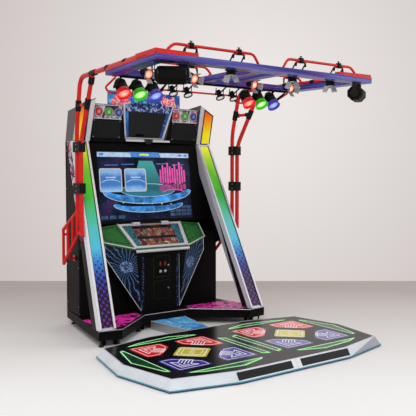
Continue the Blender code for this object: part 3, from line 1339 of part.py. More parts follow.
def build_lamp_bar(finishes):
    top = ROOF_BOTTOM - GAP
    plate = block((-BAR_PLATE_HALF_LENGTH, BAR_PLATE_Y - BAR_PLATE_HALF_WIDTH, top - BAR_PLATE),
                  (BAR_PLATE_HALF_LENGTH, BAR_PLATE_Y + BAR_PLATE_HALF_WIDTH, top))
    aim = Vector((0, -0.5, -1)).normalized() * PIN_HALF_LENGTH
    parts = []
    for side in (-1, 1):
        for x in COLOUR_LAMP_X:
            parts += colour_yoke(side * x, top)
        for x in PIN_X:
            centre = Vector((side * x, PIN_Y, PIN_Z))
            parts.append(rod((side * x, BAR_PLATE_Y, top - BAR_PLATE / 2), centre, PIN_STEM, 8))
            parts.append(rod(centre - aim, centre + aim, PIN_RADIUS, 12))
    piece("lamp_bar", union(plate, *parts), finishes["lamp_black"])


def colour_yoke(x, top):
    """The two arms that hold a colour lamp's bolt."""
    arm = COLOUR_ARM
    root = top - BAR_PLATE * 0.6

    def ring(plate_x):
        return [(plate_x, BAR_PLATE_Y - arm, root), (plate_x, BAR_PLATE_Y + arm * 0.8, root),
                (plate_x, COLOUR_LAMP_Y + arm, COLOUR_LAMP_Z + arm * 0.7),
                (plate_x, COLOUR_LAMP_Y + arm, COLOUR_LAMP_Z - arm),
                (plate_x, COLOUR_LAMP_Y - arm, COLOUR_LAMP_Z - arm)]
    arms = []
    for side in (-1, 1):
        inner = x + side * COLOUR_YOKE_HALF_WIDTH
        arms.append(loft(ring(inner), ring(inner + side * YOKE_PLATE)))
    return arms


def colour_lamp_mesh():
    """A round lamp about its tilt bolt, shining along -Z."""
    half = COLOUR_LAMP_LENGTH / 2
    mouth = COLOUR_LAMP_RADIUS - COLOUR_WALL
    can = turned([(0, half), (COLOUR_NECK, half), (COLOUR_BACK, half - COLOUR_NECK * 2 / 3),
                  (COLOUR_WAIST, half - COLOUR_WAIST), (COLOUR_LAMP_RADIUS, -COLOUR_HOOD),
                  (COLOUR_LAMP_RADIUS, -half), (mouth, -half), (mouth, -half + COLOUR_WELL),
                  (0, -half + COLOUR_WELL)], 16, (0, 0, 0), (0, 0, 1))
    reach = COLOUR_YOKE_HALF_WIDTH - GAP
    return union(can, rod((-reach, 0, 0), (reach, 0, 0), BOLT_RADIUS, 8))


def build_colour_lamps(finishes):
    base = colour_lamp_mesh()
    order = ("red", "green", "blue")
    left = [-x for x in COLOUR_LAMP_X[::-1]]
    for side_name, places in (("left", left), ("right", COLOUR_LAMP_X)):
        for colour, x in zip(order, places):
            item = piece(f"{colour}_lamp_{side_name}", base.copy(), finishes["lamp_" + colour])
            item.location = (x, COLOUR_LAMP_Y, COLOUR_LAMP_Z)
            item.rotation_euler = (-(math.pi / 2 - COLOUR_LAMP_DIP), 0, 0)


def build_rear_rail(finishes):
    """The thin bent rail behind the colour lamps, hung from the roof's rear beam."""
    end_x = REAR_RAIL_END_X
    end_y = ROOF_BACK_Y - REAR_RAIL_SET_BACK
    roof_z = ROOF_BOTTOM - GAP
    right = [(end_x, end_y, roof_z), (end_x, end_y, roof_z - RAIL_STUB),
             (end_x, REAR_RAIL_Y, REAR_RAIL_LOW + REAR_RAIL_RISE),
             (REAR_RAIL_BEND_X, REAR_RAIL_Y, REAR_RAIL_LOW), (REAR_RAIL_LOW_X, REAR_RAIL_Y, REAR_RAIL_LOW),
             (REAR_RAIL_HIGH_X, REAR_RAIL_Y, REAR_RAIL_HIGH)]
    points = [(-x, y, z) for x, y, z in right] + right[::-1]
    rail = tube(rounded_path(points, RAIL_BEND, 2), REAR_RAIL_RADIUS)
    half = RAIL_FOOT_RADIUS
    pads = [block((x - half, end_y - half, roof_z - RAIL_FOOT_PLATE), (x + half, end_y + half, roof_z))
            for x in (-end_x, end_x)]
    piece("rear_rail", union(rail, *pads), finishes["red_paint"])


def corner_lamp_mesh():
    """A faceted effect lamp about its tilt axis, long along X."""
    half = CORNER_LAMP_LENGTH / 2 - GAP
    size = CORNER_LAMP_SIZE
    eighth = math.tau / 8
    turns = [eighth * (step + 0.5) for step in range(8)]
    profile = [(size * math.cos(turn), size * math.sin(turn) * CORNER_LAMP_SQUASH) for turn in turns]
    shoulder = half - CORNER_LAMP_TAPER
    body = side_slab(profile, -shoulder, shoulder)
    small = [(y * CORNER_LAMP_END, z * CORNER_LAMP_END) for y, z in profile]
    ends = [loft([(side * (shoulder - GAP * 3), y, z) for y, z in profile],
                 [(side * half, y, z) for y, z in small]) for side in (-1, 1)]
    return union(body, *ends)


def build_corner_lamps(finishes):
    for name, side in (("left", -1), ("right", 1)):
        item = piece(f"corner_lamp_{name}", corner_lamp_mesh(), finishes["lamp_black"])
        item.matrix_world = corner_matrix(side)


# ======================= the whole machine =======================

def all_finishes():
    return {
        "black": finish("black_laminate", (0.012, 0.012, 0.013), 0.35),
        "gloss_black": finish("gloss_black_deck", (0.008, 0.008, 0.009), 0.12),
        "door_black": finish("powder_coated_black", (0.02, 0.02, 0.02), 0.5),
        "screen_black": finish("dark_glass", (0.01, 0.01, 0.012), 0.08),
        "screen_blue": finish("lit_screen", (0.02, 0.10, 0.16), 0.15, glow=0.4),
        "lamp_black": finish("lamp_black", (0.015, 0.015, 0.015), 0.45),
        "lamp_red": finish("lamp_body_red", (0.35, 0.02, 0.02), 0.4),
        "lamp_green": finish("lamp_body_green", (0.03, 0.30, 0.04), 0.4),
        "lamp_blue": finish("lamp_body_blue", (0.06, 0.05, 0.35), 0.4),
        "grey": finish("grey_metal", (0.35, 0.35, 0.36), 0.4, 0.6),
        "silver": finish("brushed_silver", (0.62, 0.63, 0.66), 0.3, 0.8),
        "green": finish("green_wing", (0.03, 0.16, 0.03), 0.35),
        "light_blue": finish("light_blue_duct", (0.12, 0.45, 0.80), 0.4),
        "header_blue": finish("header_blue", (0.06, 0.10, 0.45), 0.3, glow=0.3),
        "lit_cover": finish("lit_cover", (0.15, 0.60, 0.30), 0.3, glow=0.4),
        "red_paint": finish("red_paint", (0.55, 0.03, 0.02), 0.3),
        "printed_purple": finish("printed_purple", (0.10, 0.07, 0.35), 0.35),
        "red": finish("panel_red", (0.75, 0.04, 0.03), 0.2),
        "blue": finish("panel_blue", (0.06, 0.05, 0.45), 0.2),
        "yellow": finish("panel_yellow", (0.80, 0.70, 0.03), 0.2),
    }


def smooth_round_pieces():
    for item in bpy.context.scene.objects:
        if any(word in item.name for word in ("lamp", "spot", "rail", "side_frame")):
            item.data.shade_smooth()
            item.data.set_sharp_from_angle(angle=math.radians(35))


def main():
    for item in list(bpy.data.objects):
        bpy.data.objects.remove(item)
    finishes = all_finishes()
    build_platform(finishes)
    build_plinth(finishes)
    build_duct(finishes)
    build_pillars(finishes)
    build_body(finishes)
    build_head(finishes)
    build_screen(finishes)
    build_console(finishes)
    build_inside(finishes)
    build_side_frames(finishes)
    build_roof(finishes)
    build_rails(finishes)
    build_spots(finishes)
    build_lamp_bar(finishes)
    build_colour_lamps(finishes)
    build_rear_rail(finishes)
    build_corner_lamps(finishes)
    smooth_round_pieces()


main()
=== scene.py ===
import json
import math

import bmesh
import bpy
from mathutils import Matrix, Vector


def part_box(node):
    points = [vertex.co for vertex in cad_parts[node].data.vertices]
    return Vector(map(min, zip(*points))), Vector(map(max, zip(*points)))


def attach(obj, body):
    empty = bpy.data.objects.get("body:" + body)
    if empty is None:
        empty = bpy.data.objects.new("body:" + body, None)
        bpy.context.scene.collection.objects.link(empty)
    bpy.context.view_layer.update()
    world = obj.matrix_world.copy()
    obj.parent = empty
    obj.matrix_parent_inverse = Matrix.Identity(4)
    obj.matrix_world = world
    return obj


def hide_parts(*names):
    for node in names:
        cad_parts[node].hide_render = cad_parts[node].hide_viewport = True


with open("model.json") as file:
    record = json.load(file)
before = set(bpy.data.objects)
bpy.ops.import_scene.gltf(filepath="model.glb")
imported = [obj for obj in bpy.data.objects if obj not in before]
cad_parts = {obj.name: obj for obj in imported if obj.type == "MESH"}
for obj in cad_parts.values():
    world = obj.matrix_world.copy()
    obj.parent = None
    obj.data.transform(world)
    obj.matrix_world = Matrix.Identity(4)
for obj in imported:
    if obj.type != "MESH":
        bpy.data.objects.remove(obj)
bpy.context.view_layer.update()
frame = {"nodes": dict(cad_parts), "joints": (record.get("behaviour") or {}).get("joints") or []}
nodes = frame["nodes"]
print("frame loaded:", len(nodes), "nodes")

# camera, light and room

view = {"place": (-3.806, -5.331, 1.612), "lens": 58.44, "turn": -36.10, "dip": 2.94,
        "sensor": 36}
light = {"sky": 0.62, "key": 230, "keyPlace": (-4.5, -5.0, 6.5), "keySize": 3.0,
         "aim": (0, 0, 1), "fill": 70, "fillPlace": (5.5, -4.0, 4.5), "fillSize": 4.0}
room = {"wallAway": 10.05, "size": 60, "wallPaintedLightReach": (0.6, 4.4), "floorPaintedFalloff": (5.2, 9.6),
        "wallPaintedLightMiddle": (0.84, 0.80, 0.78), "wallPaintedShadeEdge": (0.60, 0.545, 0.53),
        "floorPaintedShadeFar": (0.56, 0.51, 0.49), "floorPaintedLightNear": (1.0, 1.0, 0.99), "paintedLightAside": 0.6, "paintedLightHigh": 2.6,
        "floorRough": 0.9}

cameraData = bpy.data.cameras.new("camera")
cameraData.lens = view["lens"]
cameraData.sensor_width = view["sensor"]
camera = bpy.data.objects.new("camera", cameraData)
camera.location = view["place"]
camera.rotation_euler = (math.radians(90 - view["dip"]), 0, math.radians(view["turn"]))
bpy.context.scene.collection.objects.link(camera)
bpy.context.scene.camera = camera
bpy.context.scene.view_settings.view_transform = "Standard"


def softLamp(name, place, power, size):
    data = bpy.data.lights.new(name, "AREA")
    data.shape = "SQUARE"
    data.size = size
    data.energy = power
    lamp = bpy.data.objects.new(name, data)
    lamp.location = place
    lamp.rotation_euler = (Vector(light["aim"]) - Vector(place)).to_track_quat("-Z", "Y").to_euler()
    bpy.context.scene.collection.objects.link(lamp)


softLamp("key", light["keyPlace"], light["key"], light["keySize"])
softLamp("fill", light["fillPlace"], light["fill"], light["fillSize"])
sky = bpy.data.worlds.new("sky")
sky.use_nodes = True
sky.node_tree.nodes["Background"].inputs["Color"].default_value = (1, 1, 1, 1)
sky.node_tree.nodes["Background"].inputs["Strength"].default_value = light["sky"]
bpy.context.scene.world = sky


def newMaterial(name):
    material = bpy.data.materials.new(name)
    material.use_nodes = True
    tree = material.node_tree
    return material, tree, tree.nodes["Principled BSDF"]


def addNode(tree, kind, links=None, **settings):
    node = tree.nodes.new(kind)
    for key, value in settings.items():
        if key in node.inputs:
            node.inputs[key].default_value = value
        else:
            setattr(node, key, value)
    for key, source in (links or {}).items():
        tree.links.new(source, node.inputs[key])
    return node


def ramp(tree, source, stops, steps=False):
    node = addNode(tree, "ShaderNodeValToRGB", {0: source})
    points = node.color_ramp.elements
    points.remove(points[1])
    points[0].position, points[0].color = stops[0][0], (*stops[0][1], 1)
    for place, colour in stops[1:]:
        points.new(place).color = (*colour, 1)
    if steps:
        node.color_ramp.interpolation = "CONSTANT"
    return node.outputs[0]


def mix(tree, share, first, second):
    node = addNode(tree, "ShaderNodeMix", data_type="RGBA")
    for socket, value in ((node.inputs[0], share), (node.inputs[6], first), (node.inputs[7], second)):
        if isinstance(value, tuple):
            socket.default_value = (*value, 1)
        elif isinstance(value, (int, float)):
            socket.default_value = value
        else:
            tree.links.new(value, socket)
    return node.outputs[2]


def calc(tree, operation, first, second=0.0):
    node = addNode(tree, "ShaderNodeMath", operation=operation)
    for socket, value in zip(node.inputs, (first, second)):
        if isinstance(value, (int, float)):
            socket.default_value = value
        else:
            tree.links.new(value, socket)
    return node.outputs[0]


def remap(tree, source, fromEnds=(0.0, 1.0), toEnds=(0.0, 1.0)):
    node = addNode(tree, "ShaderNodeMapRange", {"Value": source})
    for name, value in zip(("From Min", "From Max", "To Min", "To Max"), (*fromEnds, *toEnds)):
        node.inputs[name].default_value = value
    return node.outputs[0]


def placeOf(tree, turn=(0, 0, 0), stretch=(1, 1, 1), centre=(0, 0, 0)):
    coordinates = addNode(tree, "ShaderNodeTexCoord")
    moved = addNode(tree, "ShaderNodeMapping", {"Vector": coordinates.outputs["Object"]})
    moved.inputs["Location"].default_value = [-part for part in centre]
    turned = addNode(tree, "ShaderNodeMapping", {"Vector": moved.outputs[0]})
    turned.inputs["Rotation"].default_value = turn
    turned.inputs["Scale"].default_value = stretch
    return turned.outputs[0]


def roomPlane(name, corners, inner, outer, centre, reach, isFloor):
    shape = bmesh.new()
    shape.faces.new([shape.verts.new(corner) for corner in corners])
    mesh = bpy.data.meshes.new(name)
    shape.to_mesh(mesh)
    shape.free()
    plane = bpy.data.objects.new(name, mesh)
    bpy.context.scene.collection.objects.link(plane)
    material, tree, shader = newMaterial(name)
    # colour runs from inner at the centre to outer at the reach: a painted pool of light on the wall,
    # painted light fading off with distance on the floor
    away = addNode(tree, "ShaderNodeVectorMath", {0: placeOf(tree, centre=centre)}, operation="LENGTH")
    colour = ramp(tree, remap(tree, away.outputs["Value"], reach), [(0.0, inner), (1.0, outer)])
    if isFloor:
        shader.inputs["Roughness"].default_value = room["floorRough"]
        shader.inputs["Specular IOR Level"].default_value = 0.0
        tree.links.new(colour, shader.inputs["Base Color"])
    else:   # the wall glows with a painted pool of light, brightest round its middle, and is clear from behind
        glow = addNode(tree, "ShaderNodeEmission", {"Color": colour})
        clear = addNode(tree, "ShaderNodeBsdfTransparent")
        behind = addNode(tree, "ShaderNodeNewGeometry").outputs["Backfacing"]
        both = addNode(tree, "ShaderNodeMixShader", {0: behind, 1: glow.outputs[0], 2: clear.outputs[0]})
        tree.links.new(both.outputs[0], tree.nodes["Material Output"].inputs["Surface"])
    mesh.materials.append(material)


ahead = Vector((math.sin(math.radians(-view["turn"])), math.cos(math.radians(-view["turn"])), 0))
aside = Vector((ahead.y, -ahead.x, 0))
under = Vector((view["place"][0], view["place"][1], 0))
foot = under + ahead * room["wallAway"]
half = room["size"] / 2
wallTop = Vector((0, 0, half))
# the middle of the wall's painted pool of light
paintedLightMiddle = foot + aside * room["paintedLightAside"] + Vector((0, 0, room["paintedLightHigh"]))
roomPlane("backWall", [foot - aside * half, foot + aside * half, foot + aside * half + wallTop,
                       foot - aside * half + wallTop],
          room["wallPaintedLightMiddle"], room["wallPaintedShadeEdge"], paintedLightMiddle, room["wallPaintedLightReach"], False)
# the floor's painted light: palest under the camera, darker further away
roomPlane("floor", [(-half, -half, 0), (half, -half, 0), (half, half, 0), (-half, half, 0)],
          room["floorPaintedLightNear"], room["floorPaintedShadeFar"], under, room["floorPaintedFalloff"], True)
print("room ready")

# finishes, kept under their own names

finishes = {}


def surface(name, colour, rough=0.4, metal=0.0, coat=0.0, vary=0.15, grain=25.0, bump=0.05, fine=350.0,
            glow=0.0, stretch=(1, 1, 1), edge=0.0, shine=0.5):
    material, tree, shader = newMaterial(name)
    place = placeOf(tree, stretch=stretch)
    cloud = addNode(tree, "ShaderNodeTexNoise", {"Vector": place}, Scale=grain, Detail=4.0).outputs["Fac"]
    tone = ramp(tree, cloud, [(0.3, tuple(part * (1 - vary) for part in colour)),
                              (0.7, tuple(min(1.0, part * (1 + vary)) for part in colour))])
    if edge:   # rubbed edges show paler: wear, together with a painted highlight along every convex edge
        edgePointiness = addNode(tree, "ShaderNodeNewGeometry").outputs["Pointiness"]
        edgeWearAndSheen = ramp(tree, edgePointiness, [(0.52, (0, 0, 0)), (0.60, (edge, edge, edge))])
        tone = mix(tree, edgeWearAndSheen, tone, tuple(min(1.0, part * 1.6 + 0.08) for part in colour))
    tree.links.new(tone, shader.inputs["Base Color"])
    gloss = remap(tree, cloud, toEnds=(max(0.02, rough * 0.75), min(1.0, rough * 1.25)))
    tree.links.new(gloss, shader.inputs["Roughness"])
    shader.inputs["Metallic"].default_value = metal
    shader.inputs["Specular IOR Level"].default_value = shine
    shader.inputs["Coat Weight"].default_value = coat
    speck = addNode(tree, "ShaderNodeTexNoise", {"Vector": place}, Scale=fine, Detail=2.0).outputs["Fac"]
    relief = addNode(tree, "ShaderNodeBump", {"Height": speck}, Strength=bump, Distance=0.001)
    tree.links.new(relief.outputs[0], shader.inputs["Normal"])
    if glow:
        tree.links.new(tone, shader.inputs["Emission Color"])
        shader.inputs["Emission Strength"].default_value = glow
    finishes[name] = material


def printed(name, colour, rough=0.3, glow=0.0, relief=None, coat=0.0, shine=0.16):
    # the function colour(tree) works out the tone
    material, tree, shader = newMaterial(name)
    tone = colour(tree)
    tree.links.new(tone, shader.inputs["Base Color"])
    haze = addNode(tree, "ShaderNodeTexNoise", {"Vector": placeOf(tree)}, Scale=18.0,
                   Detail=3.0).outputs["Fac"]
    tree.links.new(remap(tree, haze, toEnds=(rough * 0.75, rough * 1.25)), shader.inputs["Roughness"])
    height = relief(tree) if relief else haze
    bumps = addNode(tree, "ShaderNodeBump", {"Height": height}, Strength=0.15, Distance=0.001)
    tree.links.new(bumps.outputs[0], shader.inputs["Normal"])
    shader.inputs["Specular IOR Level"].default_value = shine
    shader.inputs["Coat Weight"].default_value = coat
    if glow:
        tree.links.new(tone, shader.inputs["Emission Color"])
        shader.inputs["Emission Strength"].default_value = glow
    finishes[name] = material


def noiseOf(tree, scale, detail=3.0, place=None, **settings):
    return addNode(tree, "ShaderNodeTexNoise", {"Vector": place or placeOf(tree)}, Scale=scale,
                   Detail=detail,
                   **settings).outputs["Fac"]


def cellsOf(tree, scale, feature="F1", place=None, output="Distance"):
    return addNode(tree, "ShaderNodeTexVoronoi", {"Vector": place or placeOf(tree)}, Scale=scale,
                   feature=feature).outputs[output]


def axisOf(tree, axis, place=None):
    return addNode(tree, "ShaderNodeSeparateXYZ", {0: place or placeOf(tree)}).outputs[axis]


sweep = {"low": 0.16, "high": 2.36, "dotsFrom": 0.45, "dotsBelow": 0.98, "dotSpacing": 23.0,
         "dotSizes": (0.30, 0.74)}
sweepStops = [(0.0, (0.20, 0.010, 0.26)), (0.13, (0.09, 0.015, 0.28)), (0.20, (0.03, 0.04, 0.36)),
              (0.27, (0.03, 0.18, 0.52)), (0.33, (0.07, 0.46, 0.64)), (0.41, (0.09, 0.47, 0.46)),
              (0.48, (0.06, 0.46, 0.22)), (0.56, (0.06, 0.47, 0.04)), (0.66, (0.13, 0.55, 0.02)),
              (0.73, (0.36, 0.68, 0.02)), (0.79, (0.80, 0.78, 0.02)), (0.86, (0.92, 0.76, 0.01)),
              (0.93, (0.90, 0.30, 0.01)), (0.98, (0.85, 0.05, 0.01))]


def sweepColour(tree):
    height = axisOf(tree, 2)
    colour = ramp(tree, remap(tree, height, (sweep["low"], sweep["high"])), sweepStops)
    # coloured dots on black, growing upwards until they meet
    flat = placeOf(tree, turn=(0, math.radians(45), 0), stretch=(1, 0, 1.0))
    dots = addNode(tree, "ShaderNodeTexVoronoi", {"Vector": flat}, Scale=sweep["dotSpacing"],
                   Randomness=0.0)
    size = remap(tree, height, (sweep["dotsFrom"], sweep["dotsBelow"]), sweep["dotSizes"])
    mask = calc(tree, "LESS_THAN", dots.outputs["Distance"], size)
    return mix(tree, mask, (0.008, 0.007, 0.014), colour)


def trussColour(tree):
    patch = noiseOf(tree, 1.7, 1.0)
    base = ramp(tree, patch, [(0.30, (0.006, 0.007, 0.03)), (0.42, (0.020, 0.025, 0.20)),
                              (0.52, (0.055, 0.050, 0.36)),
                              (0.60, (0.24, 0.03, 0.32)), (0.68, (0.03, 0.05, 0.28)),
                              (0.78, (0.03, 0.26, 0.09))])
    dark = ramp(tree, noiseOf(tree, 6.0, 3.0, Distortion=1.0),
                [(0.44, (0.85, 0.85, 0.85)), (0.52, (0.0, 0.0, 0.0))])
    flecks = ramp(tree, cellsOf(tree, 26.0), [(0.10, (1, 1, 1)), (0.22, (0, 0, 0))])
    shards = ramp(tree, cellsOf(tree, 5.0, "DISTANCE_TO_EDGE"),
                  [(0.015, (0.8, 0.8, 0.8)), (0.05, (0, 0, 0))])
    shade = mix(tree, dark, base, (0.006, 0.006, 0.020))
    shade = mix(tree, calc(tree, "MULTIPLY", flecks, 0.35), shade, (0.16, 0.16, 0.50))
    return mix(tree, calc(tree, "MULTIPLY", shards, 0.5), shade, (0.16, 0.18, 0.52))


def sideArtColour(tree):
    folds = noiseOf(tree, 3.5, 5.0, place=placeOf(tree, stretch=(1, 1.6, 0.8)), Distortion=1.8)
    base = ramp(tree, folds, [(0.30, (0.008, 0.008, 0.012)), (0.40, (0.60, 0.02, 0.12)),
                              (0.46, (0.75, 0.70, 0.72)),
                              (0.50, (0.02, 0.25, 0.55)), (0.56, (0.012, 0.012, 0.02)),
                              (0.62, (0.65, 0.05, 0.25)),
                              (0.70, (0.80, 0.78, 0.80)), (0.78, (0.05, 0.35, 0.60))])
    shards = ramp(tree, cellsOf(tree, 7.0, "DISTANCE_TO_EDGE"), [(0.02, (1, 1, 1)), (0.05, (0, 0, 0))])
    return mix(tree, shards, base, (0.01, 0.01, 0.015))


def bokehColour(tree):
    height = ramp(tree, noiseOf(tree, 2.2, 2.0), [(0.35, (0.010, 0.05, 0.26)), (0.65, (0.03, 0.26, 0.62))])
    discs = ramp(tree, cellsOf(tree, 9.0), [(0.16, (0.75, 0.75, 0.75)), (0.24, (0.3, 0.3, 0.3)),
                                            (0.34, (0, 0, 0))])
    small = ramp(tree, cellsOf(tree, 30.0), [(0.12, (0.6, 0.6, 0.6)), (0.20, (0, 0, 0))])
    return mix(tree, small, mix(tree, discs, height, (0.22, 0.62, 0.85)), (0.70, 0.88, 0.95))


burst = {"x": 0.400, "z": 0.640, "rays": 27.0, "wander": 9.0, "heart": 0.100, "torn": 0.07}


def burstColour(tree):
    # rays from a point on each flank, over dark blue
    spread = addNode(tree, "ShaderNodeVectorMath", {0: placeOf(tree)}, operation="ABSOLUTE").outputs[0]
    across = calc(tree, "SUBTRACT", axisOf(tree, 0, place=spread), burst["x"])
    rise = calc(tree, "SUBTRACT", axisOf(tree, 2), burst["z"])
    angle = calc(tree, "MULTIPLY", calc(tree, "ARCTAN2", rise, across), burst["rays"])
    wander = calc(tree, "MULTIPLY", noiseOf(tree, 14.0), burst["wander"])
    rays = calc(tree, "SINE", calc(tree, "ADD", angle, wander))
    squares = [calc(tree, "MULTIPLY", part, part) for part in (rise, across)]
    away = calc(tree, "SQRT", calc(tree, "ADD", *squares))
    base = ramp(tree, rays, [(0.10, (0.005, 0.005, 0.012)), (0.60, (0.008, 0.016, 0.06)),
                             (0.85, (0.03, 0.10, 0.26)),
                             (0.97, (0.08, 0.22, 0.42))])
    splash = ramp(tree, noiseOf(tree, 26.0, 5.0, Distortion=2.0),
                  [(0.42, (0.02, 0.03, 0.10)), (0.52, (0.10, 0.24, 0.45)), (0.60, (0.30, 0.36, 0.58)),
                   (0.68, (0.03, 0.06, 0.20))])
    torn = calc(tree, "ADD", away, calc(tree, "MULTIPLY", noiseOf(tree, 20.0), burst["torn"]))
    return mix(tree, calc(tree, "LESS_THAN", torn, burst["heart"]), base, splash)


pillarFace = {"foot": (0, 0.226, 0.156), "inwards": (0, 0.909, -0.416), "edgeDeep": 0.052,
              "printFrom": 0.95}


def pillarSideColour(tree):
    # white along the front edge, printed behind it
    place = placeOf(tree, centre=pillarFace["foot"])
    depth = addNode(tree, "ShaderNodeVectorMath", {0: place}, operation="DOT_PRODUCT")
    depth.inputs[1].default_value = pillarFace["inwards"]
    near = calc(tree, "LESS_THAN", depth.outputs["Value"], pillarFace["edgeDeep"])
    high = calc(tree, "GREATER_THAN", axisOf(tree, 2), pillarFace["printFrom"])
    return mix(tree, near, mix(tree, high, (0.010, 0.009, 0.010), sideArtColour(tree)), (0.78, 0.79, 0.81))


def capArtColour(tree):
    folds = noiseOf(tree, 16.0, 4.0, Distortion=1.6)
    return ramp(tree, folds, [(0.34, (0.006, 0.008, 0.030)), (0.46, (0.03, 0.03, 0.16)),
                              (0.52, (0.03, 0.10, 0.30)),
                              (0.57, (0.20, 0.38, 0.55)), (0.60, (0.55, 0.60, 0.70)),
                              (0.64, (0.03, 0.05, 0.20)),
                              (0.72, (0.35, 0.06, 0.30))])


board = {"heart": (0.300, 1.042, 2.335), "reach": 0.200, "torn": 0.16}


def boardColour(tree):
    # blue with pink tongues either side of the monitor
    base = bokehColour(tree)
    spread = addNode(tree, "ShaderNodeVectorMath", {0: placeOf(tree)}, operation="ABSOLUTE").outputs[0]
    away = addNode(tree, "ShaderNodeVectorMath", {0: spread}, operation="DISTANCE")
    away.inputs[1].default_value = board["heart"]
    torn = calc(tree, "MULTIPLY", noiseOf(tree, 16.0, 3.0, Distortion=1.5), board["torn"])
    near = calc(tree, "LESS_THAN", calc(tree, "ADD", away.outputs["Value"], torn), board["reach"])
    tongues = ramp(tree, noiseOf(tree, 22.0, 3.0, Distortion=2.0),
                   [(0.35, (0.55, 0.02, 0.18)), (0.48, (0.85, 0.15, 0.25)), (0.56, (0.90, 0.45, 0.20)),
                    (0.66, (0.85, 0.75, 0.80))])
    return mix(tree, near, base, tongues)


def columnColour(tree):
    place = placeOf(tree, stretch=(1, 0, 1))
    dots = addNode(tree, "ShaderNodeTexVoronoi", {"Vector": place}, Scale=52.0, Randomness=0.5)
    mask = calc(tree, "LESS_THAN", dots.outputs["Distance"], 0.27)
    return mix(tree, mask, (0.004, 0.005, 0.008), (0.04, 0.15, 0.50))


def stageColour(tree):
    rise = remap(tree, axisOf(tree, 2), (1.28, 1.78))
    veil = calc(tree, "ADD", rise, calc(tree, "MULTIPLY", noiseOf(tree, 8.0), 0.25))
    return ramp(tree, veil, [(0.10, (0.03, 0.22, 0.28)), (0.50, (0.012, 0.09, 0.12)),
                             (1.10, (0.04, 0.26, 0.25))])


def tileColour(tree):
    rise = remap(tree, axisOf(tree, 2), (1.42, 1.66))
    cloud = calc(tree, "ADD", rise, calc(tree, "MULTIPLY", noiseOf(tree, 12.0), 0.3))
    return ramp(tree, cloud, [(0.15, (0.30, 0.55, 0.80)), (0.42, (0.05, 0.18, 0.50)),
                              (0.80, (0.05, 0.17, 0.46)),
                              (1.15, (0.22, 0.42, 0.70))])


def flameColour(tree):
    tongues = noiseOf(tree, 9.0, 3.0, Distortion=3.0)
    return ramp(tree, tongues, [(0.44, (0.006, 0.005, 0.006)), (0.47, (0.85, 0.035, 0.42))], True)


def ductColour(tree):
    place = placeOf(tree, turn=(0, 0, 0.7), stretch=(1, 0.45, 1))
    folds = noiseOf(tree, 5.5, 2.0, place=place, Distortion=1.6)
    return ramp(tree, folds, [(0.34, (0.010, 0.16, 0.55)), (0.47, (0.025, 0.30, 0.74)),
                              (0.51, (0.45, 0.76, 0.90)),
                              (0.53, (0.030, 0.33, 0.76)), (0.62, (0.12, 0.48, 0.82)),
                              (0.70, (0.02, 0.24, 0.64))])


def trussFaceColour(tree):
    # long thin streaks along the outer faces of the roof
    streaks = noiseOf(tree, 3.0, 3.0, place=placeOf(tree, stretch=(0.4, 0.4, 22)))
    tone = ramp(tree, streaks, [(0.38, (0.035, 0.030, 0.20)), (0.52, (0.085, 0.080, 0.34)),
                                (0.64, (0.15, 0.15, 0.46))])
    patches = ramp(tree, noiseOf(tree, 2.4, 2.0), [(0.55, (0, 0, 0)), (0.66, (0.8, 0.8, 0.8))])
    return mix(tree, patches, tone, (0.12, 0.02, 0.22))


def cornerColour(tree):
    threads = noiseOf(tree, 34.0, 4.0, Distortion=3.0)
    return ramp(tree, threads, [(0.44, (0.003, 0.006, 0.008)), (0.50, (0.02, 0.16, 0.20)),
                                (0.53, (0.08, 0.36, 0.42)),
                                (0.56, (0.010, 0.05, 0.07)), (0.64, (0.003, 0.005, 0.007))])


def meshColour(tree):
    holes = ramp(tree, cellsOf(tree, 95.0), [(0.30, (0, 0, 0)), (0.42, (1, 1, 1))])
    return mix(tree, holes, (0.008, 0.055, 0.012), (0.030, 0.175, 0.035))


def grilleRelief(tree):
    return cellsOf(tree, 95.0)


def dialColour(tree):
    # small lit tiles of a menu on black
    place = placeOf(tree, turn=(0.73, 0, 0))
    tiles = addNode(tree, "ShaderNodeTexBrick", {"Vector": place}, Scale=15.0)
    tiles.inputs["Color1"].default_value = (0, 0, 0, 1)
    tiles.inputs["Color2"].default_value = (0, 0, 0, 1)
    tiles.inputs["Mortar"].default_value = (1, 1, 1, 1)
    tiles.inputs["Mortar Size"].default_value = 0.035
    pick = axisOf(tree, 0, place=cellsOf(tree, 26.0, output="Color"))
    warm = ramp(tree, pick, [(0.0, (0.15, 0.015, 0.012)), (0.20, (0.18, 0.09, 0.03)),
                             (0.34, (0.006, 0.010, 0.010)),
                             (0.52, (0.20, 0.03, 0.04)), (0.64, (0.02, 0.016, 0.014)),
                             (0.80, (0.26, 0.18, 0.12)),
                             (0.94, (0.22, 0.02, 0.09))])
    return mix(tree, tiles.outputs["Color"], warm, (0.003, 0.004, 0.005))


def paintedReflectionColour(tree):
    # a bright plate with painted reflections of the coloured lights round it, in soft patches
    patches = noiseOf(tree, 9.0, 2.0, place=placeOf(tree, stretch=(1, 1, 0.5)), Distortion=1.0)
    return ramp(tree, patches, [(0.36, (0.02, 0.02, 0.025)), (0.44, (0.22, 0.20, 0.24)),
                                (0.52, (0.70, 0.68, 0.72)),
                                (0.60, (0.45, 0.10, 0.30)), (0.66, (0.05, 0.30, 0.32)),
                                (0.72, (0.60, 0.60, 0.66))])


def clothColour(tree):
    return ramp(tree, cellsOf(tree, 260.0), [(0.25, (0.002, 0.002, 0.002)), (0.40, (0.010, 0.010, 0.010))])


def nightColour(tree):
    # a dim hall behind the stage on the main display
    haze = ramp(tree, noiseOf(tree, 3.0, 4.0),
                [(0.38, (0.002, 0.002, 0.004)), (0.55, (0.005, 0.010, 0.030)),
                                               (0.68, (0.030, 0.014, 0.060)),
                                               (0.78, (0.010, 0.050, 0.090))])
    sparks = ramp(tree, cellsOf(tree, 26.0), [(0.06, (1, 1, 1)), (0.10, (0, 0, 0))])
    warm = ramp(tree, noiseOf(tree, 6.0, 1.0), [(0.45, (0.05, 0.20, 0.45)), (0.60, (0.50, 0.16, 0.04))])
    return mix(tree, calc(tree, "MULTIPLY", sparks, 0.8), haze, warm)


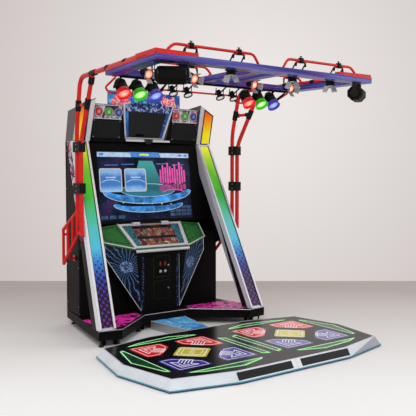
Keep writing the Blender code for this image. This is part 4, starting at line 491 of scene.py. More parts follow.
surface("blackLaminate", (0.0045, 0.0040, 0.0038), 0.45, grain=40, bump=0.10, fine=500, shine=0.05)
surface("towerGrey", (0.075, 0.068, 0.070), 0.42, grain=12, bump=0.08)
surface("satinSilver", (0.52, 0.51, 0.55), 0.36, metal=0.35, grain=60, stretch=(1, 1, 0.1), edge=0.5)
surface("whiteTrimPaintedLight", (0.80, 0.81, 0.83), 0.30, grain=10, vary=0.05, bump=0.04)
surface("redPaint", (0.66, 0.012, 0.008), 0.36, coat=0.05, grain=14, vary=0.10, bump=0.05, shine=0.3)
surface("powderBlack", (0.006, 0.0055, 0.0055), 0.5, bump=0.35, fine=900, shine=0.10)
surface("clampBlack", (0.005, 0.005, 0.0055), 0.42, bump=0.20, fine=700, shine=0.16)
surface("glossDeck", (0.004, 0.004, 0.004), 0.22, grain=6, vary=0.3, bump=0.03, shine=0.12)
surface("darkGlass", (0.003, 0.003, 0.004), 0.10, grain=8, vary=0.3, bump=0.01, shine=0.25)
surface("panelRed", (0.78, 0.020, 0.016), 0.22, grain=14, vary=0.14, glow=0.18, coat=0.3)
surface("panelBlue", (0.036, 0.028, 0.30), 0.22, grain=14, vary=0.20, glow=0.18, coat=0.3)
surface("panelYellow", (0.70, 0.60, 0.03), 0.24, grain=14, vary=0.10, glow=0.10, coat=0.3)
# the platform rim: white with a faint painted glow, and a grey copy of it as painted shade for its far side
surface("rimWhitePaintedGlow", (0.70, 0.74, 0.79), 0.22, grain=5, vary=0.08, bump=0.02, glow=0.04)
surface("rimGreyPaintedShade", (0.40, 0.41, 0.47), 0.30, grain=5, vary=0.10, bump=0.03, metal=0.3)
surface("cyanLine", (0.04, 0.33, 0.38), 0.25, grain=12, vary=0.20, glow=0.06)
surface("indigoEdge", (0.035, 0.022, 0.20), 0.35)
surface("labelBlack", (0.009, 0.008, 0.009), 0.35, grain=20, shine=0.2)
surface("greenFilm", (0.016, 0.30, 0.018), 0.24, grain=30, vary=0.25, glow=0.40)
surface("coreGreen", (0.004, 0.045, 0.006), 0.20, grain=14, vary=0.70, glow=0.20)
surface("paleGreen", (0.45, 0.86, 0.45), 0.30, grain=30, vary=0.08, glow=0.45)
surface("whiteLine", (0.86, 0.84, 0.88), 0.35, grain=60, vary=0.08, glow=0.15)
surface("blackSlat", (0.004, 0.006, 0.005), 0.20)
surface("greyMetal", (0.33, 0.33, 0.35), 0.38, metal=0.7, grain=40, edge=0.4)
surface("boltSteel", (0.45, 0.45, 0.47), 0.30, metal=0.9, grain=60)
surface("rubber", (0.010, 0.010, 0.010), 0.75, bump=0.3)
surface("buttonGrey", (0.42, 0.42, 0.44), 0.32, grain=50)
surface("menuPale", (0.40, 0.58, 0.80), 0.2, grain=20, vary=0.20, glow=0.25)
surface("menuBlue", (0.04, 0.18, 0.50), 0.2, grain=20, vary=0.25, glow=0.40)
surface("menuLime", (0.55, 0.66, 0.10), 0.2, grain=40, vary=0.20, glow=0.50)
surface("ringBlue", (0.035, 0.20, 0.52), 0.2, grain=11, vary=0.90, glow=0.50, shine=0.1)
surface("cellBlue", (0.015, 0.055, 0.13), 0.2, grain=12, vary=0.60, glow=0.40)
surface("pinkBars", (0.62, 0.05, 0.32), 0.2, grain=20, vary=0.20, glow=0.45)
surface("pinkDark", (0.30, 0.02, 0.17), 0.2, grain=20, vary=0.40, glow=0.40)
surface("redLit", (0.30, 0.008, 0.006), 0.25, grain=60, vary=0.30, glow=0.18)
surface("pinGlass", (0.80, 0.80, 0.78), 0.15, grain=60, vary=0.15, glow=0.30)

printed("coverSweep", sweepColour, 0.22, glow=0.22, coat=0.2)
printed("trussPrint", trussColour, 0.30)
printed("headerPrint", bokehColour, 0.25, glow=0.15)
printed("burstPrint", burstColour, 0.30)
# the plinth decal and the cable duct are prints that glow a little though neither is lit: painted light
printed("flamePrintPaintedGlow", flameColour, 0.40, glow=0.12)
printed("ductPrintPaintedGlow", ductColour, 0.30, glow=0.10)
printed("greenMesh", meshColour, 0.40, relief=grilleRelief)
printed("menuGlow", dialColour, 0.14, glow=0.55)
printed("pillarSide", pillarSideColour, 0.28)
printed("capPrint", capArtColour, 0.25, glow=0.10)
printed("boardPrint", boardColour, 0.25, glow=0.15)
printed("columnDots", columnColour, 0.30, glow=0.20)
printed("stageTeal", stageColour, 0.15, glow=0.55)
printed("tileBlue", tileColour, 0.12, glow=0.35)
printed("cornerTeal", cornerColour, 0.15, glow=0.25)
printed("trussFace", trussFaceColour, 0.32)
printed("paintedReflectionPlate", paintedReflectionColour, 0.16, shine=0.5)
printed("grilleCloth", clothColour, 0.6, relief=grilleRelief)
printed("hallGlow", nightColour, 0.12, glow=0.5, shine=0.08)


def wear(finish, *names):
    for name in names:
        for holder in nodes[name].material_slots:
            holder.material = finishes[finish]


def repaint(node, finish, test):
    # the faces whose middle and direction pass the test take another finish
    mesh = nodes[node].data
    mesh.materials.append(finishes[finish])
    for face in mesh.polygons:
        if test(face.center, face.normal):
            face.material_index = len(mesh.materials) - 1


wear("blackLaminate", *nodes)
wear("satinSilver", "pillar_left", "pillar_right", "marquee_frame")
wear("redPaint", "side_frame_left", "side_frame_right", "front_rail_left", "front_rail_right",
     "mid_rail_left",
     "mid_rail_right", "rear_rail")
wear("glossDeck", "platform_deck")
wear("rimWhitePaintedGlow", "platform_frame")
wear("trussPrint", "roof_frame")
wear("darkGlass", "touch_screen", "marquee_display")
wear("hallGlow", "main_display")
wear("greenMesh", "console_top")
wear("coverSweep", "light_cover_left", "light_cover_right")
wear("ductPrintPaintedGlow", "cable_duct")
wear("boardPrint", "header_board")
wear("powderBlack", "rear_door", "cash_box", "lamp_bar")
wear("greyMetal", "game_computer")
wear("buttonGrey", "reject_button_left", "reject_button_right")
for name in nodes:
    if name.endswith("_panel"):
        wear("panelYellow" if "centre" in name else "panelRed" if "back" in name else "panelBlue", name)
print("finishes ready:", len(finishes))

# ways of making pieces


def newPiece(name, shape, finish, body="machine", smooth=False, second=None):
    mesh = bpy.data.meshes.new(name)
    shape.to_mesh(mesh)
    shape.free()
    if smooth:
        mesh.shade_smooth()
        mesh.set_sharp_from_angle(angle=math.radians(35))
    piece = bpy.data.objects.new(name, mesh)
    bpy.context.scene.collection.objects.link(piece)
    mesh.materials.append(finishes[finish])
    if second:
        mesh.materials.append(finishes[second])
    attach(piece, body)
    return piece


def addBox(shape, low, high, bevel=0.0, place=Matrix()):
    low, high = Vector(low), Vector(high)
    middle = Matrix.Translation((low + high) / 2) @ Matrix.Diagonal((*(high - low), 1))
    made = bmesh.ops.create_cube(shape, size=1, matrix=place @ middle)["verts"]
    if bevel:
        edges = {edge for vertex in made for edge in vertex.link_edges}
        bmesh.ops.bevel(shape, geom=list(edges), offset=bevel, affect="EDGES", segments=2, profile=0.5,
                        material=-1)


def addBorder(shape, low, high, width, depths):
    # four thin strips round an upright rectangle, low and high being its corners in X and Z
    (left, foot), (right, head) = low, high
    for a, b in (((left, foot), (right, foot + width)), ((left, head - width), (right, head)),
                 ((left, foot), (left + width, head)), ((right - width, foot), (right, head))):
        addBox(shape, (a[0], depths[0], a[1]), (b[0], depths[1], b[1]))


def addPlate(shape, outline, thickness, place=Matrix(), bevel=0.0):
    # an outline in a plane, given a thickness upwards
    ring = [shape.verts.new(place @ Vector((x, y, 0))) for x, y in outline]
    face = shape.faces.new(ring)
    face.normal_update()
    made = bmesh.ops.extrude_face_region(shape, geom=[face])["geom"]
    lifted = [item for item in made if isinstance(item, bmesh.types.BMVert)]
    rise = place.to_3x3() @ Vector((0, 0, thickness))
    bmesh.ops.translate(shape, verts=lifted, vec=rise)
    faces = {item for vertex in ring + lifted for item in vertex.link_faces}
    bmesh.ops.recalc_face_normals(shape, faces=list(faces))
    if bevel:
        top = [item for item in made if isinstance(item, bmesh.types.BMFace)][0]
        bmesh.ops.bevel(shape, geom=list(top.edges), offset=bevel, affect="EDGES", segments=1, profile=0.5,
                        material=-1)


def addTurned(shape, profile, place=Matrix(), steps=24):
    # a profile of radius and height spun round the local Z axis
    for vertex in shape.verts:   # tags tell what was there before
        vertex.tag = True
    points = [shape.verts.new((radius, 0, height)) for radius, height in profile]
    edges = [shape.edges.new(pair) for pair in zip(points, points[1:])]
    bmesh.ops.spin(shape, geom=points + edges, cent=(0, 0, 0), axis=(0, 0, 1), angle=math.tau, steps=steps,
                   use_merge=True)
    bmesh.ops.remove_doubles(shape, verts=[vertex for vertex in shape.verts if not vertex.tag],
                             dist=0.00002)
    fresh = [vertex for vertex in shape.verts if not vertex.tag]
    faces = {face for vertex in fresh for face in vertex.link_faces}
    bmesh.ops.recalc_face_normals(shape, faces=list(faces))
    bmesh.ops.transform(shape, matrix=place, verts=fresh)


def addRod(shape, start, end, radius, steps=12, bevel=0.0):
    start, end = Vector(start), Vector(end)
    length = (end - start).length
    profile = [(0, 0), (radius, 0), (radius, length), (0, length)]
    if bevel:
        profile[1:3] = [(radius - bevel, 0), (radius, bevel), (radius, length - bevel),
                        (radius - bevel, length)]
    turn = Vector((0, 0, 1)).rotation_difference(end - start).to_matrix().to_4x4()
    addTurned(shape, profile, Matrix.Translation(start) @ turn, steps)


def addRods(shape, points, radius, steps=8, closed=False):
    # a run of straight rods from point to point
    for start, stop in zip(points, points[1:] + points[:1] if closed else points[1:]):
        addRod(shape, start, stop, radius, steps)


def addLine(shape, points, width, height, place=Matrix(), closed=False):
    # a drawn line: flat bars from point to point in a plane, rounded at their ends by overlapping
    pairs = list(zip(points, points[1:] + points[:1] if closed else points[1:]))
    for (ax, ay), (bx, by) in pairs:
        length = math.hypot(bx - ax, by - ay)
        turn = Matrix.Rotation(math.atan2(by - ay, bx - ax), 4, "Z")
        bar = Matrix.Translation(((ax + bx) / 2, (ay + by) / 2, height / 2)) @ turn
        size = Matrix.Diagonal((length + width * 0.6, width, height, 1))
        bmesh.ops.create_cube(shape, size=1, matrix=place @ bar @ size)


def planeAt(origin, across, up):
    # a place whose X runs across, whose Y runs up the face and whose Z comes out of it
    across, up = Vector(across).normalized(), Vector(up)
    out = across.cross(up).normalized()
    up = out.cross(across)
    turn = Matrix((across, up, out)).transposed().to_4x4()
    return Matrix.Translation(origin) @ turn


def roundedOutline(width, height, radius, steps=4):
    points = []
    for cx, cy, start in ((1, 1, 0), (-1, 1, 90), (-1, -1, 180), (1, -1, 270)):
        for step in range(steps + 1):
            angle = math.radians(start + 90 * step / steps)
            points.append((cx * (width / 2 - radius) + radius * math.cos(angle),
                           cy * (height / 2 - radius) + radius * math.sin(angle)))
    return points


def shifted(outline, dx, dy):
    return [(x + dx, y + dy) for x, y in outline]


def facing(x, y, z, way=-1):
    # an upright place on a face that looks to the front, or to the back with way=1
    return planeAt((x, y, z), (-way, 0, 0), (0, 0, 1))


def jointPlace(node):
    return next(item["pos_m"] for item in frame["joints"] if item["child"] == node)


def mirrored(outline, side):
    # an outline drawn for the right, turned over for the left with its order kept round the same way
    return [(side * x, y) for x, y in outline][::side]

# dance platform

platform = {"middleY": -0.658, "padX": 0.565, "lineWidth": 0.0095, "lineLift": 0.0012, "borderInset": 0.022}
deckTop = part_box("platform_deck")[1].z


def borderOf(node, inset, width, lift):
    # a raised band that follows the outline of a panel's upper face
    copy = bmesh.new()
    copy.from_mesh(nodes[node].data)
    bmesh.ops.remove_doubles(copy, verts=copy.verts, dist=0.00005)
    top = max(vertex.co.z for vertex in copy.verts)
    spare = [face for face in copy.faces if min(vertex.co.z for vertex in face.verts) < top - 0.0003]
    bmesh.ops.delete(copy, geom=spare, context="FACES")
    bmesh.ops.dissolve_faces(copy, faces=copy.faces)
    bmesh.ops.dissolve_limit(copy, angle_limit=0.02, verts=copy.verts, edges=copy.edges)
    outer = bmesh.ops.inset_region(copy, faces=copy.faces, thickness=inset, use_even_offset=True,
                                    use_boundary=True)["faces"]
    bmesh.ops.delete(copy, geom=outer, context="FACES")
    band = bmesh.ops.inset_region(copy, faces=copy.faces, thickness=width, use_even_offset=True,
                                   use_boundary=True)["faces"]
    bmesh.ops.delete(copy, geom=[face for face in copy.faces if face not in set(band)], context="FACES")
    made = bmesh.ops.extrude_face_region(copy, geom=list(copy.faces))["geom"]
    lifted = [item for item in made if isinstance(item, bmesh.types.BMVert)]
    bmesh.ops.translate(copy, verts=lifted, vec=(0, 0, lift))
    bmesh.ops.recalc_face_normals(copy, faces=copy.faces)
    return copy


def topOf(node):
    # the middle of a panel's upper face
    low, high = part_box(node)
    return Vector(((low.x + high.x) / 2, (low.y + high.y) / 2, high.z)), high.x - low.x


width, lift = platform["lineWidth"], platform["lineLift"]
panelSides = {"back_left": (-1, 1), "back_right": (1, 1), "front_left": (-1, -1), "front_right": (1, -1)}
arrow = {"head": [(0.095, -0.070), (0.095, 0.095), (-0.070, 0.095), (-0.025, 0.050), (-0.100, -0.025),
                  (-0.025, -0.100), (0.050, -0.025)],
         "tip": [(0.062, 0.000), (0.062, 0.062), (0.000, 0.062)],
         "shaft": [(0.030, 0.030), (-0.055, -0.055)],
         "tails": ([(0.030, -0.008), (-0.040, -0.078)], [(-0.008, 0.030), (-0.078, -0.040)]),
         "tailWidth": 0.8}
square = {"rings": ((0.016, 1.0), (0.048, 0.6)), "corner": 0.034, "marks": (-0.040, 0.0, 0.040),
          "mark": (0.014, 0.020), "markWidth": 0.6}
for side in ("left", "right"):
    for corner, (sx, sy) in panelSides.items():   # an arrow towards the pad's corner, in lines
        node = f"{side}_pad_{corner}_panel"
        border = borderOf(node, platform["borderInset"], width * 0.5, lift)
        place = Matrix.Translation(topOf(node)[0]) @ Matrix.Diagonal((sx, sy, 1, 1))
        addLine(border, arrow["head"], width, lift, place, closed=True)
        addLine(border, arrow["tip"], width, lift, place)
        addLine(border, arrow["shaft"], width, lift, place)
        for tail in arrow["tails"]:
            addLine(border, tail, width * arrow["tailWidth"], lift, place)
        newPiece(f"{side}_{corner}_arrow", border, "whiteLine", node)
    node = f"{side}_pad_centre_panel"
    middle, diagonal = topOf(node)
    place = Matrix.Translation(middle) @ Matrix.Rotation(math.radians(45), 4, "Z")
    border = bmesh.new()
    for margin, share in square["rings"]:
        size = diagonal / math.sqrt(2) - 2 * margin
        addLine(border, roundedOutline(size, size, square["corner"] - margin * 0.3), width * share, lift,
                place,
                closed=True)
    for x in square["marks"]:
        reach, rise = square["mark"]
        addLine(border, [(x - reach, -rise), (x + reach, rise)], width * square["markWidth"], lift, place)
    newPiece(f"{side}_centre_square", border, "whiteLine", node)

# green lit strips in the deck, each a film with a pale line round it
strips = {"lift": 0.0010, "sink": -0.0002, "over": 0.0006, "coreThick": 0.0006, "lineWidth": 0.009,
          "shrink": {"back": (0.58, 0.93, 0.80), "front": (0.58, 0.93, 0.80), "end": (0.84, 0.93, 0.93),
                     "middle": (0.84, 0.93, 0.93)}}   # of the core, and of the line across and along
wedges = {   # from the pad's middle, but the middle strip from the deck's
    "back": ((-0.385, 0.470), (0.385, 0.455), (0.250, 0.515), (-0.120, 0.575), (-0.350, 0.500)),
    "front": ((-0.385, -0.480), (-0.350, -0.510), (-0.120, -0.590), (0.250, -0.540), (0.385, -0.475)),
    "end": ((0.465, -0.390), (0.500, -0.370), (0.600, 0.000), (0.500, 0.370), (0.465, 0.390)),
    "middle": ((0.045, -0.430), (0.105, -0.400), (0.105, 0.270), (0.045, 0.240))}


def shrunk(outline, acrossShare, alongShare):
    heartX, heartY = (sum(values) / len(outline) for values in zip(*outline))
    return [(heartX + (x - heartX) * acrossShare, heartY + (y - heartY) * alongShare) for x, y in outline]


def onDeck(height):
    return Matrix.Translation((0, 0, deckTop + strips[height]))


for side, out in (("left", -1), ("right", 1)):
    for strip, points in wedges.items():
        name = f"{side}_{strip}"
        centreX = 0.0 if strip == "middle" else platform["padX"]
        outline = [(out * (centreX + x), platform["middleY"] + y) for x, y in points]
        coreShare, acrossShare, alongShare = strips["shrink"][strip]
        film = bmesh.new()
        addPlate(film, outline, strips["lift"], onDeck("sink"))
        newPiece(f"{name}_film", film, "greenFilm")
        core = bmesh.new()
        addPlate(core, shrunk(outline, coreShare, coreShare), strips["coreThick"], onDeck("over"))
        newPiece(f"{name}_core", core, "coreGreen")
        line = bmesh.new()
        addLine(line, shrunk(outline, acrossShare, alongShare), strips["lineWidth"], strips["lift"],
                onDeck("over"),
                closed=True)
        newPiece(f"{name}_line", line, "paleGreen")
slat = {"x": 0.075, "half": 0.006, "starts": (-0.36, -0.17, 0.02), "long": 0.14, "rise": (0.0006, 0.0014),
        "grooveX": 0.020, "grooveHalf": 0.010, "grooveEnds": (-0.42, 0.24), "grooveRise": (-0.0002, 0.0010)}
slats = bmesh.new()
for out in (1, -1):
    runs = [(slat["x"], slat["half"], start, start + slat["long"], slat["rise"])
            for start in slat["starts"]]
    for x, half, start, stop, rise in runs + [(slat["grooveX"], slat["grooveHalf"], *slat["grooveEnds"],
                                               slat["grooveRise"])]:
        addBox(slats, (out * x - half, platform["middleY"] + start, deckTop + rise[0]),
               (out * x + half, platform["middleY"] + stop, deckTop + rise[1]))
newPiece("centre_slats", slats, "blackSlat")

# the rim: a thin lip above, a cyan line and a dark edge below, and two bare label plates
edging = {"drop": 0.078, "reach": 0.050, "frontY": -0.668, "plateLength": 0.57, "plateHeight": 0.064,
          "plateX": 0.335,
       "plateUp": 0.004, "plateThick": 0.0016, "seams": (-0.6, 0.0, 0.6), "seamHalf": (0.0012, 0.046),
       "seamRise": (-0.0004, 0.0006), "lip": (0.0012, deckTop - 0.0045, deckTop + 0.0012, 0.0095),
       "cyan": (0.0525, 0.0150, 0.0220, 0.020), "dark": (0.0515, 0.0090, 0.0146, 0.020)}
rimCorners = [(-1.130, -0.545), (-0.600, -0.668), (0.600, -0.668), (1.130, -0.545), (1.235, 0.0),
              (1.130, 0.545),
              (0.600, 0.668), (-0.600, 0.668), (-1.130, 0.545), (-1.235, 0.0)]


def rimBand(name, finish, grow, low, high, depth):
    shape = bmesh.new()
    outline = [(x, y + platform["middleY"]) for x, y in grownOutline(rimCorners, grow)]
    addPlate(shape, outline, high - low, Matrix.Translation((0, 0, low)))
    caps = [face for face in shape.faces if len(face.verts) == len(outline)]
    bmesh.ops.inset_region(shape, faces=caps, thickness=depth, use_even_offset=True)
    inner = [face for face in shape.faces if len(face.verts) == len(outline)]
    bmesh.ops.bridge_loops(shape, edges=[edge for face in inner for edge in face.edges])
    bmesh.ops.delete(shape, geom=inner, context="FACES_ONLY")
    bmesh.ops.recalc_face_normals(shape, faces=shape.faces)
    newPiece(name, shape, finish)


def grownOutline(outline, distance):
    grown = []
    count = len(outline)
    for place in range(count):
        before, here, after = (Vector(outline[(place + step) % count]) for step in (-1, 0, 1))
        first, second = (here - before).normalized(), (after - here).normalized()
        bisector = (Vector((first.y, -first.x)) + Vector((second.y, -second.x))).normalized()
        share = bisector.dot(Vector((first.y, -first.x)))
        grown.append(tuple(here + bisector * distance / share))
    return grown


rimBand("rim_lip", "satinSilver", *edging["lip"])
rimBand("rim_cyan_line", "cyanLine", *edging["cyan"])
rimBand("rim_dark_edge", "indigoEdge", *edging["dark"])
rimPlane = planeAt((0, platform["middleY"] + edging["frontY"] - edging["reach"] / 2,
                    deckTop - edging["drop"] / 2),
                   (1, 0, 0), (0, edging["reach"], edging["drop"]))
for side, x in (("left", -edging["plateX"]), ("right", edging["plateX"])):
    plate = bmesh.new()
    outline = roundedOutline(edging["plateLength"], edging["plateHeight"], 0.003)
    addPlate(plate, shifted(outline, x, edging["plateUp"]), edging["plateThick"], rimPlane, bevel=0.0005)
    newPiece(f"label_plate_{side}", plate, "labelBlack")
seams = bmesh.new()
seamX, seamY = edging["seamHalf"]
for x in edging["seams"]:
    addBox(seams, (x - seamX, -seamY, edging["seamRise"][0]), (x + seamX, seamY, edging["seamRise"][1]),
           place=rimPlane)
newPiece("rim_seams", seams, "greyMetal")


# the rim's far side, away from the lamps, takes the darker grey: painted shade
def paintedShadeSide(centre, normal):
    return centre.x > 0.93 or (centre.y > platform["middleY"] and centre.x > -1.10)


repaint("platform_frame", "rimGreyPaintedShade", paintedShadeSide)
repaint("platform_frame", "indigoEdge", lambda centre, normal: normal.z < -0.9)
print("platform ready")

# lamps, each riding its own tilting body

spot = {"radius": 0.043, "front": -0.045, "back": 0.060, "flapReach": 0.055, "flapWidth": 0.070,
        "flapTurn": 26, "pinOut": 0.0095}
spotX = (-0.817, -0.345, 0.345, 0.817)
spotRows = {"front": 0, "mid": -68}
# the front spots are off, but their lenses still get a pale heart that glows: a painted sheen
spotLight = {"lit": ((0.80, 0.06, 0.02), (1.0, 0.62, 0.42), 0.9),
             "unlitPaintedSheen": ((0.30, 0.30, 0.32), (0.75, 0.75, 0.78), 0.3)}   # rim, heart and strength


def lensFinish(name, rim, heart, strength, radius, place, reach=(0.18, 0.55, 0.95)):
    # a lens bright in the middle, its colour by distance from its own centre
    material, tree, shader = newMaterial(name)
    at = placeOf(tree, centre=tuple(place.translation))
    away = addNode(tree, "ShaderNodeVectorMath", {0: at}, operation="LENGTH").outputs["Value"]
    ripple = noiseOf(tree, 160.0, 2.0)
    share = calc(tree, "ADD", calc(tree, "DIVIDE", away, radius), calc(tree, "MULTIPLY", ripple, 0.10))
    between = tuple((a + b) / 2 for a, b in zip(rim, heart))
    colour = ramp(tree, share, list(zip(reach, (heart, between, rim))))
    tree.links.new(colour, shader.inputs["Base Color"])
    tree.links.new(colour, shader.inputs["Emission Color"])
    shader.inputs["Emission Strength"].default_value = strength
    tree.links.new(remap(tree, ripple, toEnds=(0.10, 0.25)), shader.inputs["Roughness"])
    cells = addNode(tree, "ShaderNodeBump", {"Height": cellsOf(tree, 220.0)}, Strength=0.4, Distance=0.001)
    tree.links.new(cells.outputs[0], shader.inputs["Normal"])
    finishes[name] = material
    return name


def makeSpot(node, place, lit):
    r, front, back = spot["radius"], spot["front"], spot["back"]
    can = bmesh.new()
    profile = [(0, back), (r * 0.42, back), (r * 0.50, back - 0.004), (r * 0.50, back - 0.014),
               (r * 0.78, back - 0.018)]
    for ring in range(3):   # cooling ribs
        z = back - 0.022 - ring * 0.012
        profile += [(r * 0.94, z), (r * 0.94, z - 0.004), (r * 0.80, z - 0.005), (r * 0.80, z - 0.011)]
    profile += [(r * 0.92, back - 0.062), (r * 0.92, front + 0.012), (r, front + 0.010), (r, front),
                (r * 0.90, front),
                (r * 0.86, front + 0.012), (0, front + 0.014)]
    addTurned(can, profile, place, 28)
    for side in (1, -1):
        start, stop = (place @ Vector((side * x, 0, 0)) for x in (r * 0.85, r + spot["pinOut"]))
        addRod(can, start, stop, 0.007, 10, 0.001)
    newPiece(node + "_can", can, "clampBlack", node, smooth=True)
    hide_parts(node)
    lens = bmesh.new()
    middle = place @ Matrix.Translation((0, 0, front + 0.006))
    addTurned(lens, [(0, 0.007), (r * 0.86, 0.007), (r * 0.86, 0.001), (r * 0.60, -0.003),
                     (r * 0.30, -0.005),
                     (0, -0.006)], middle, 28)
    rim, heart, strength = spotLight["lit" if lit else "unlitPaintedSheen"]
    newPiece(node + "_lens", lens, lensFinish(node + "Lens", rim, heart, strength, r, middle), node,
             smooth=True)
    flaps = bmesh.new()
    for quarter in range(4):
        hinge = (place @ Matrix.Rotation(math.radians(90 * quarter), 4, "Z") @
                 Matrix.Translation((0, r * 0.93, front)) @ Matrix.Rotation(math.radians(spot["flapTurn"]),
                                                                            4, "X"))
        root, reach = spot["flapWidth"] * 0.40, spot["flapReach"]
        tip = spot["flapWidth"] * (0.50 if quarter % 2 else 0.36)
        addPlate(flaps, [(-root, 0), (root, 0), (tip, -reach), (-tip, -reach)], 0.0015,
                 hinge @ Matrix.Rotation(math.radians(90), 4, "X"))
        addRod(flaps, hinge @ Vector((-root, 0, 0)), hinge @ Vector((root, 0, 0)), 0.0022, 8)
    newPiece(node + "_flaps", flaps, "flapPaintedShadeGrey" if lit else "flapPaintedLightPale", node)


# one barn-door finish in two copies: paler on the front spots as painted light, darker on the tilted middle
# spots as painted shade
surface("flapPaintedShadeGrey", (0.30, 0.30, 0.33), 0.35, metal=0.2, grain=40, vary=0.25)
surface("flapPaintedLightPale", (0.58, 0.58, 0.60), 0.35, metal=0.1, grain=40, vary=0.20)
for number, x in enumerate(spotX, 1):
    for row, turn in spotRows.items():
        node = f"{row}_spot_{number}"
        place = Matrix.Translation(jointPlace(node)) @ Matrix.Rotation(math.radians(turn), 4, "X")
        makeSpot(node, place, row == "mid")
print("spots ready")

coloured = {"radius": 0.066, "tilt": -37, "glow": 0.9}
lampColours = {"red": ((0.85, 0.010, 0.008), (1.0, 0.45, 0.35)),
               "green": ((0.07, 0.55, 0.01), (0.60, 0.95, 0.45)),
               "blue": ((0.09, 0.06, 0.45), (0.30, 0.50, 0.95))}


def makeColourLamp(node, colour):
    place = Matrix.Translation(jointPlace(node)) @ Matrix.Rotation(math.radians(coloured["tilt"]), 4, "X")
    r = coloured["radius"]
    rim, heart = lampColours[colour]
    low, high = colourEnds(node, place)
    housing = bmesh.new()
    profile = [(0, high), (r * 0.40, high), (r * 0.52, high - 0.006), (r * 0.66, high - 0.028),
               (r * 0.70, high - 0.030)]
    for ring in range(3):
        z = high - 0.036 - ring * 0.014
        profile += [(r * 0.82, z), (r * 0.82, z - 0.005), (r * 0.72, z - 0.006), (r * 0.72, z - 0.013)]
    profile += [(r * 0.84, high - 0.082), (r * 0.88, low + 0.050), (r * 0.84, low + 0.049),
                (0, low + 0.052)]
    addTurned(housing, profile, place, 32)
    for side in (1, -1):
        start, stop = (place @ Vector((side * x, 0, 0)) for x in (r * 0.70, r + 0.005))
        addRod(housing, start, stop, 0.010, 12, 0.001)
    newPiece(node + "_housing", housing, "clampBlack", node, smooth=True)
    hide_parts(node)
    hood = bmesh.new()
    profile = [(r * 0.86, low + 0.052), (r * 0.89, low + 0.052), (r * 0.93, low + 0.030), (r, low + 0.004),
               (r, low), (r * 0.95, low), (r * 0.88, low + 0.028), (r * 0.86, low + 0.052)]
    addTurned(hood, profile, place, 32)
    newPiece(node + "_hood", hood, colour + "Hood", node, smooth=True)
    lens = bmesh.new()
    middle = place @ Matrix.Translation((0, 0, low + 0.020))
    addTurned(lens, [(0, 0.012), (r * 0.885, 0.012), (r * 0.88, 0.004), (r * 0.62, -0.004),
                     (r * 0.30, -0.009),
                     (0, -0.010)], middle, 32)
    finish = lensFinish(node + "Lens", rim, heart, coloured["glow"], r, middle)
    newPiece(node + "_lens", lens, finish, node, smooth=True)


def colourEnds(node, place):
    # how far the housing reaches along its own axis
    back = place.inverted()
    heights = [(back @ vertex.co).z for vertex in nodes[node].data.vertices]
    return min(heights), max(heights)


for colour, (rim, heart) in lampColours.items():
    surface(colour + "Hood", tuple(part * 0.7 for part in rim), 0.3, glow=0.45, coat=0.3)
    for side in ("left", "right"):
        makeColourLamp(f"{colour}_lamp_{side}", colour)
print("colour lamps ready")

# cabinet: pillars' trims, head and upper monitor

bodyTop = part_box("body_shell")[1].z
head = {"frontY": 1.046, "middleY": 0.985, "middleZ": bodyTop + 0.388, "towerY": 0.928,
        "towerZ": bodyTop + 0.437,
        "lampX": (0.362, 0.477, 0.593), "lampRadius": 0.049, "lampReach": (0.05, 0.30, 0.62),
        "lampShade": 0.40,
        "plateInner": 0.322, "plateOuter": 0.648, "plateLow": bodyTop + 0.236, "plateHigh": bodyTop + 0.383,
        "plateThick": 0.006, "grilleLow": bodyTop + 0.040, "grilleThick": 0.004}
middlePlace = planeAt((0, head["frontY"], bodyTop), (1, 0, 0),
                      (0, head["middleY"] - head["frontY"], head["middleZ"] - bodyTop))
towerPlace = planeAt((0, head["frontY"], bodyTop), (1, 0, 0),
                     (0, head["towerY"] - head["frontY"], head["towerZ"] - bodyTop))


def along(place, z):
    # how far up a sloping face a height lies
    return (z - place.translation.z) / place.col[1].z


def addQuad(shape, corners, thickness):
    # a plate with four free corners, thickened along its own direction
    ring = [shape.verts.new(corner) for corner in corners]
    face = shape.faces.new(ring)
    face.normal_update()
    direction = face.normal.copy()
    made = bmesh.ops.extrude_face_region(shape, geom=[face])["geom"]
    lifted = [item for item in made if isinstance(item, bmesh.types.BMVert)]
    bmesh.ops.translate(shape, verts=lifted, vec=direction * thickness)
    faces = {item for vertex in ring + lifted for item in vertex.link_faces}
    bmesh.ops.recalc_face_normals(shape, faces=list(faces))


pillar = {"footInner": 0.817, "footOuter": 0.992, "topInner": 0.688, "topOuter": 0.858, "footY": 0.226,
          "topY": 1.042, "footZ": 0.1563, "topZ": 1.9417, "lift": 0.0002,
          "trims": ((0.012, 0.141), (0.859, 0.988)), "trimEnds": (0.004, 0.996), "trimRise": 0.012,
          "lines": ((0.143, 0.183), (0.817, 0.857)), "lineEnds": (0.006, 0.994), "lineRise": 0.003}


def pillarAt(side, across, up, out=0.0):
    inner = pillar["footInner"] + (pillar["topInner"] - pillar["footInner"]) * up
    outer = pillar["footOuter"] + (pillar["topOuter"] - pillar["footOuter"]) * up
    rise = Vector((0, pillar["topY"] - pillar["footY"], pillar["topZ"] - pillar["footZ"]))
    start = Vector((side * (inner + (outer - inner) * across), pillar["footY"], pillar["footZ"]))
    normal = Vector((0, -rise.z, rise.y)).normalized()
    return start + rise * up + normal * out


def pillarStrip(shape, side, inner, outer, low, high, thickness):
    spots = ((inner, low), (outer, low), (outer, high), (inner, high))
    addQuad(shape, [pillarAt(side, across, up, pillar["lift"]) for across, up in spots][::side], thickness)


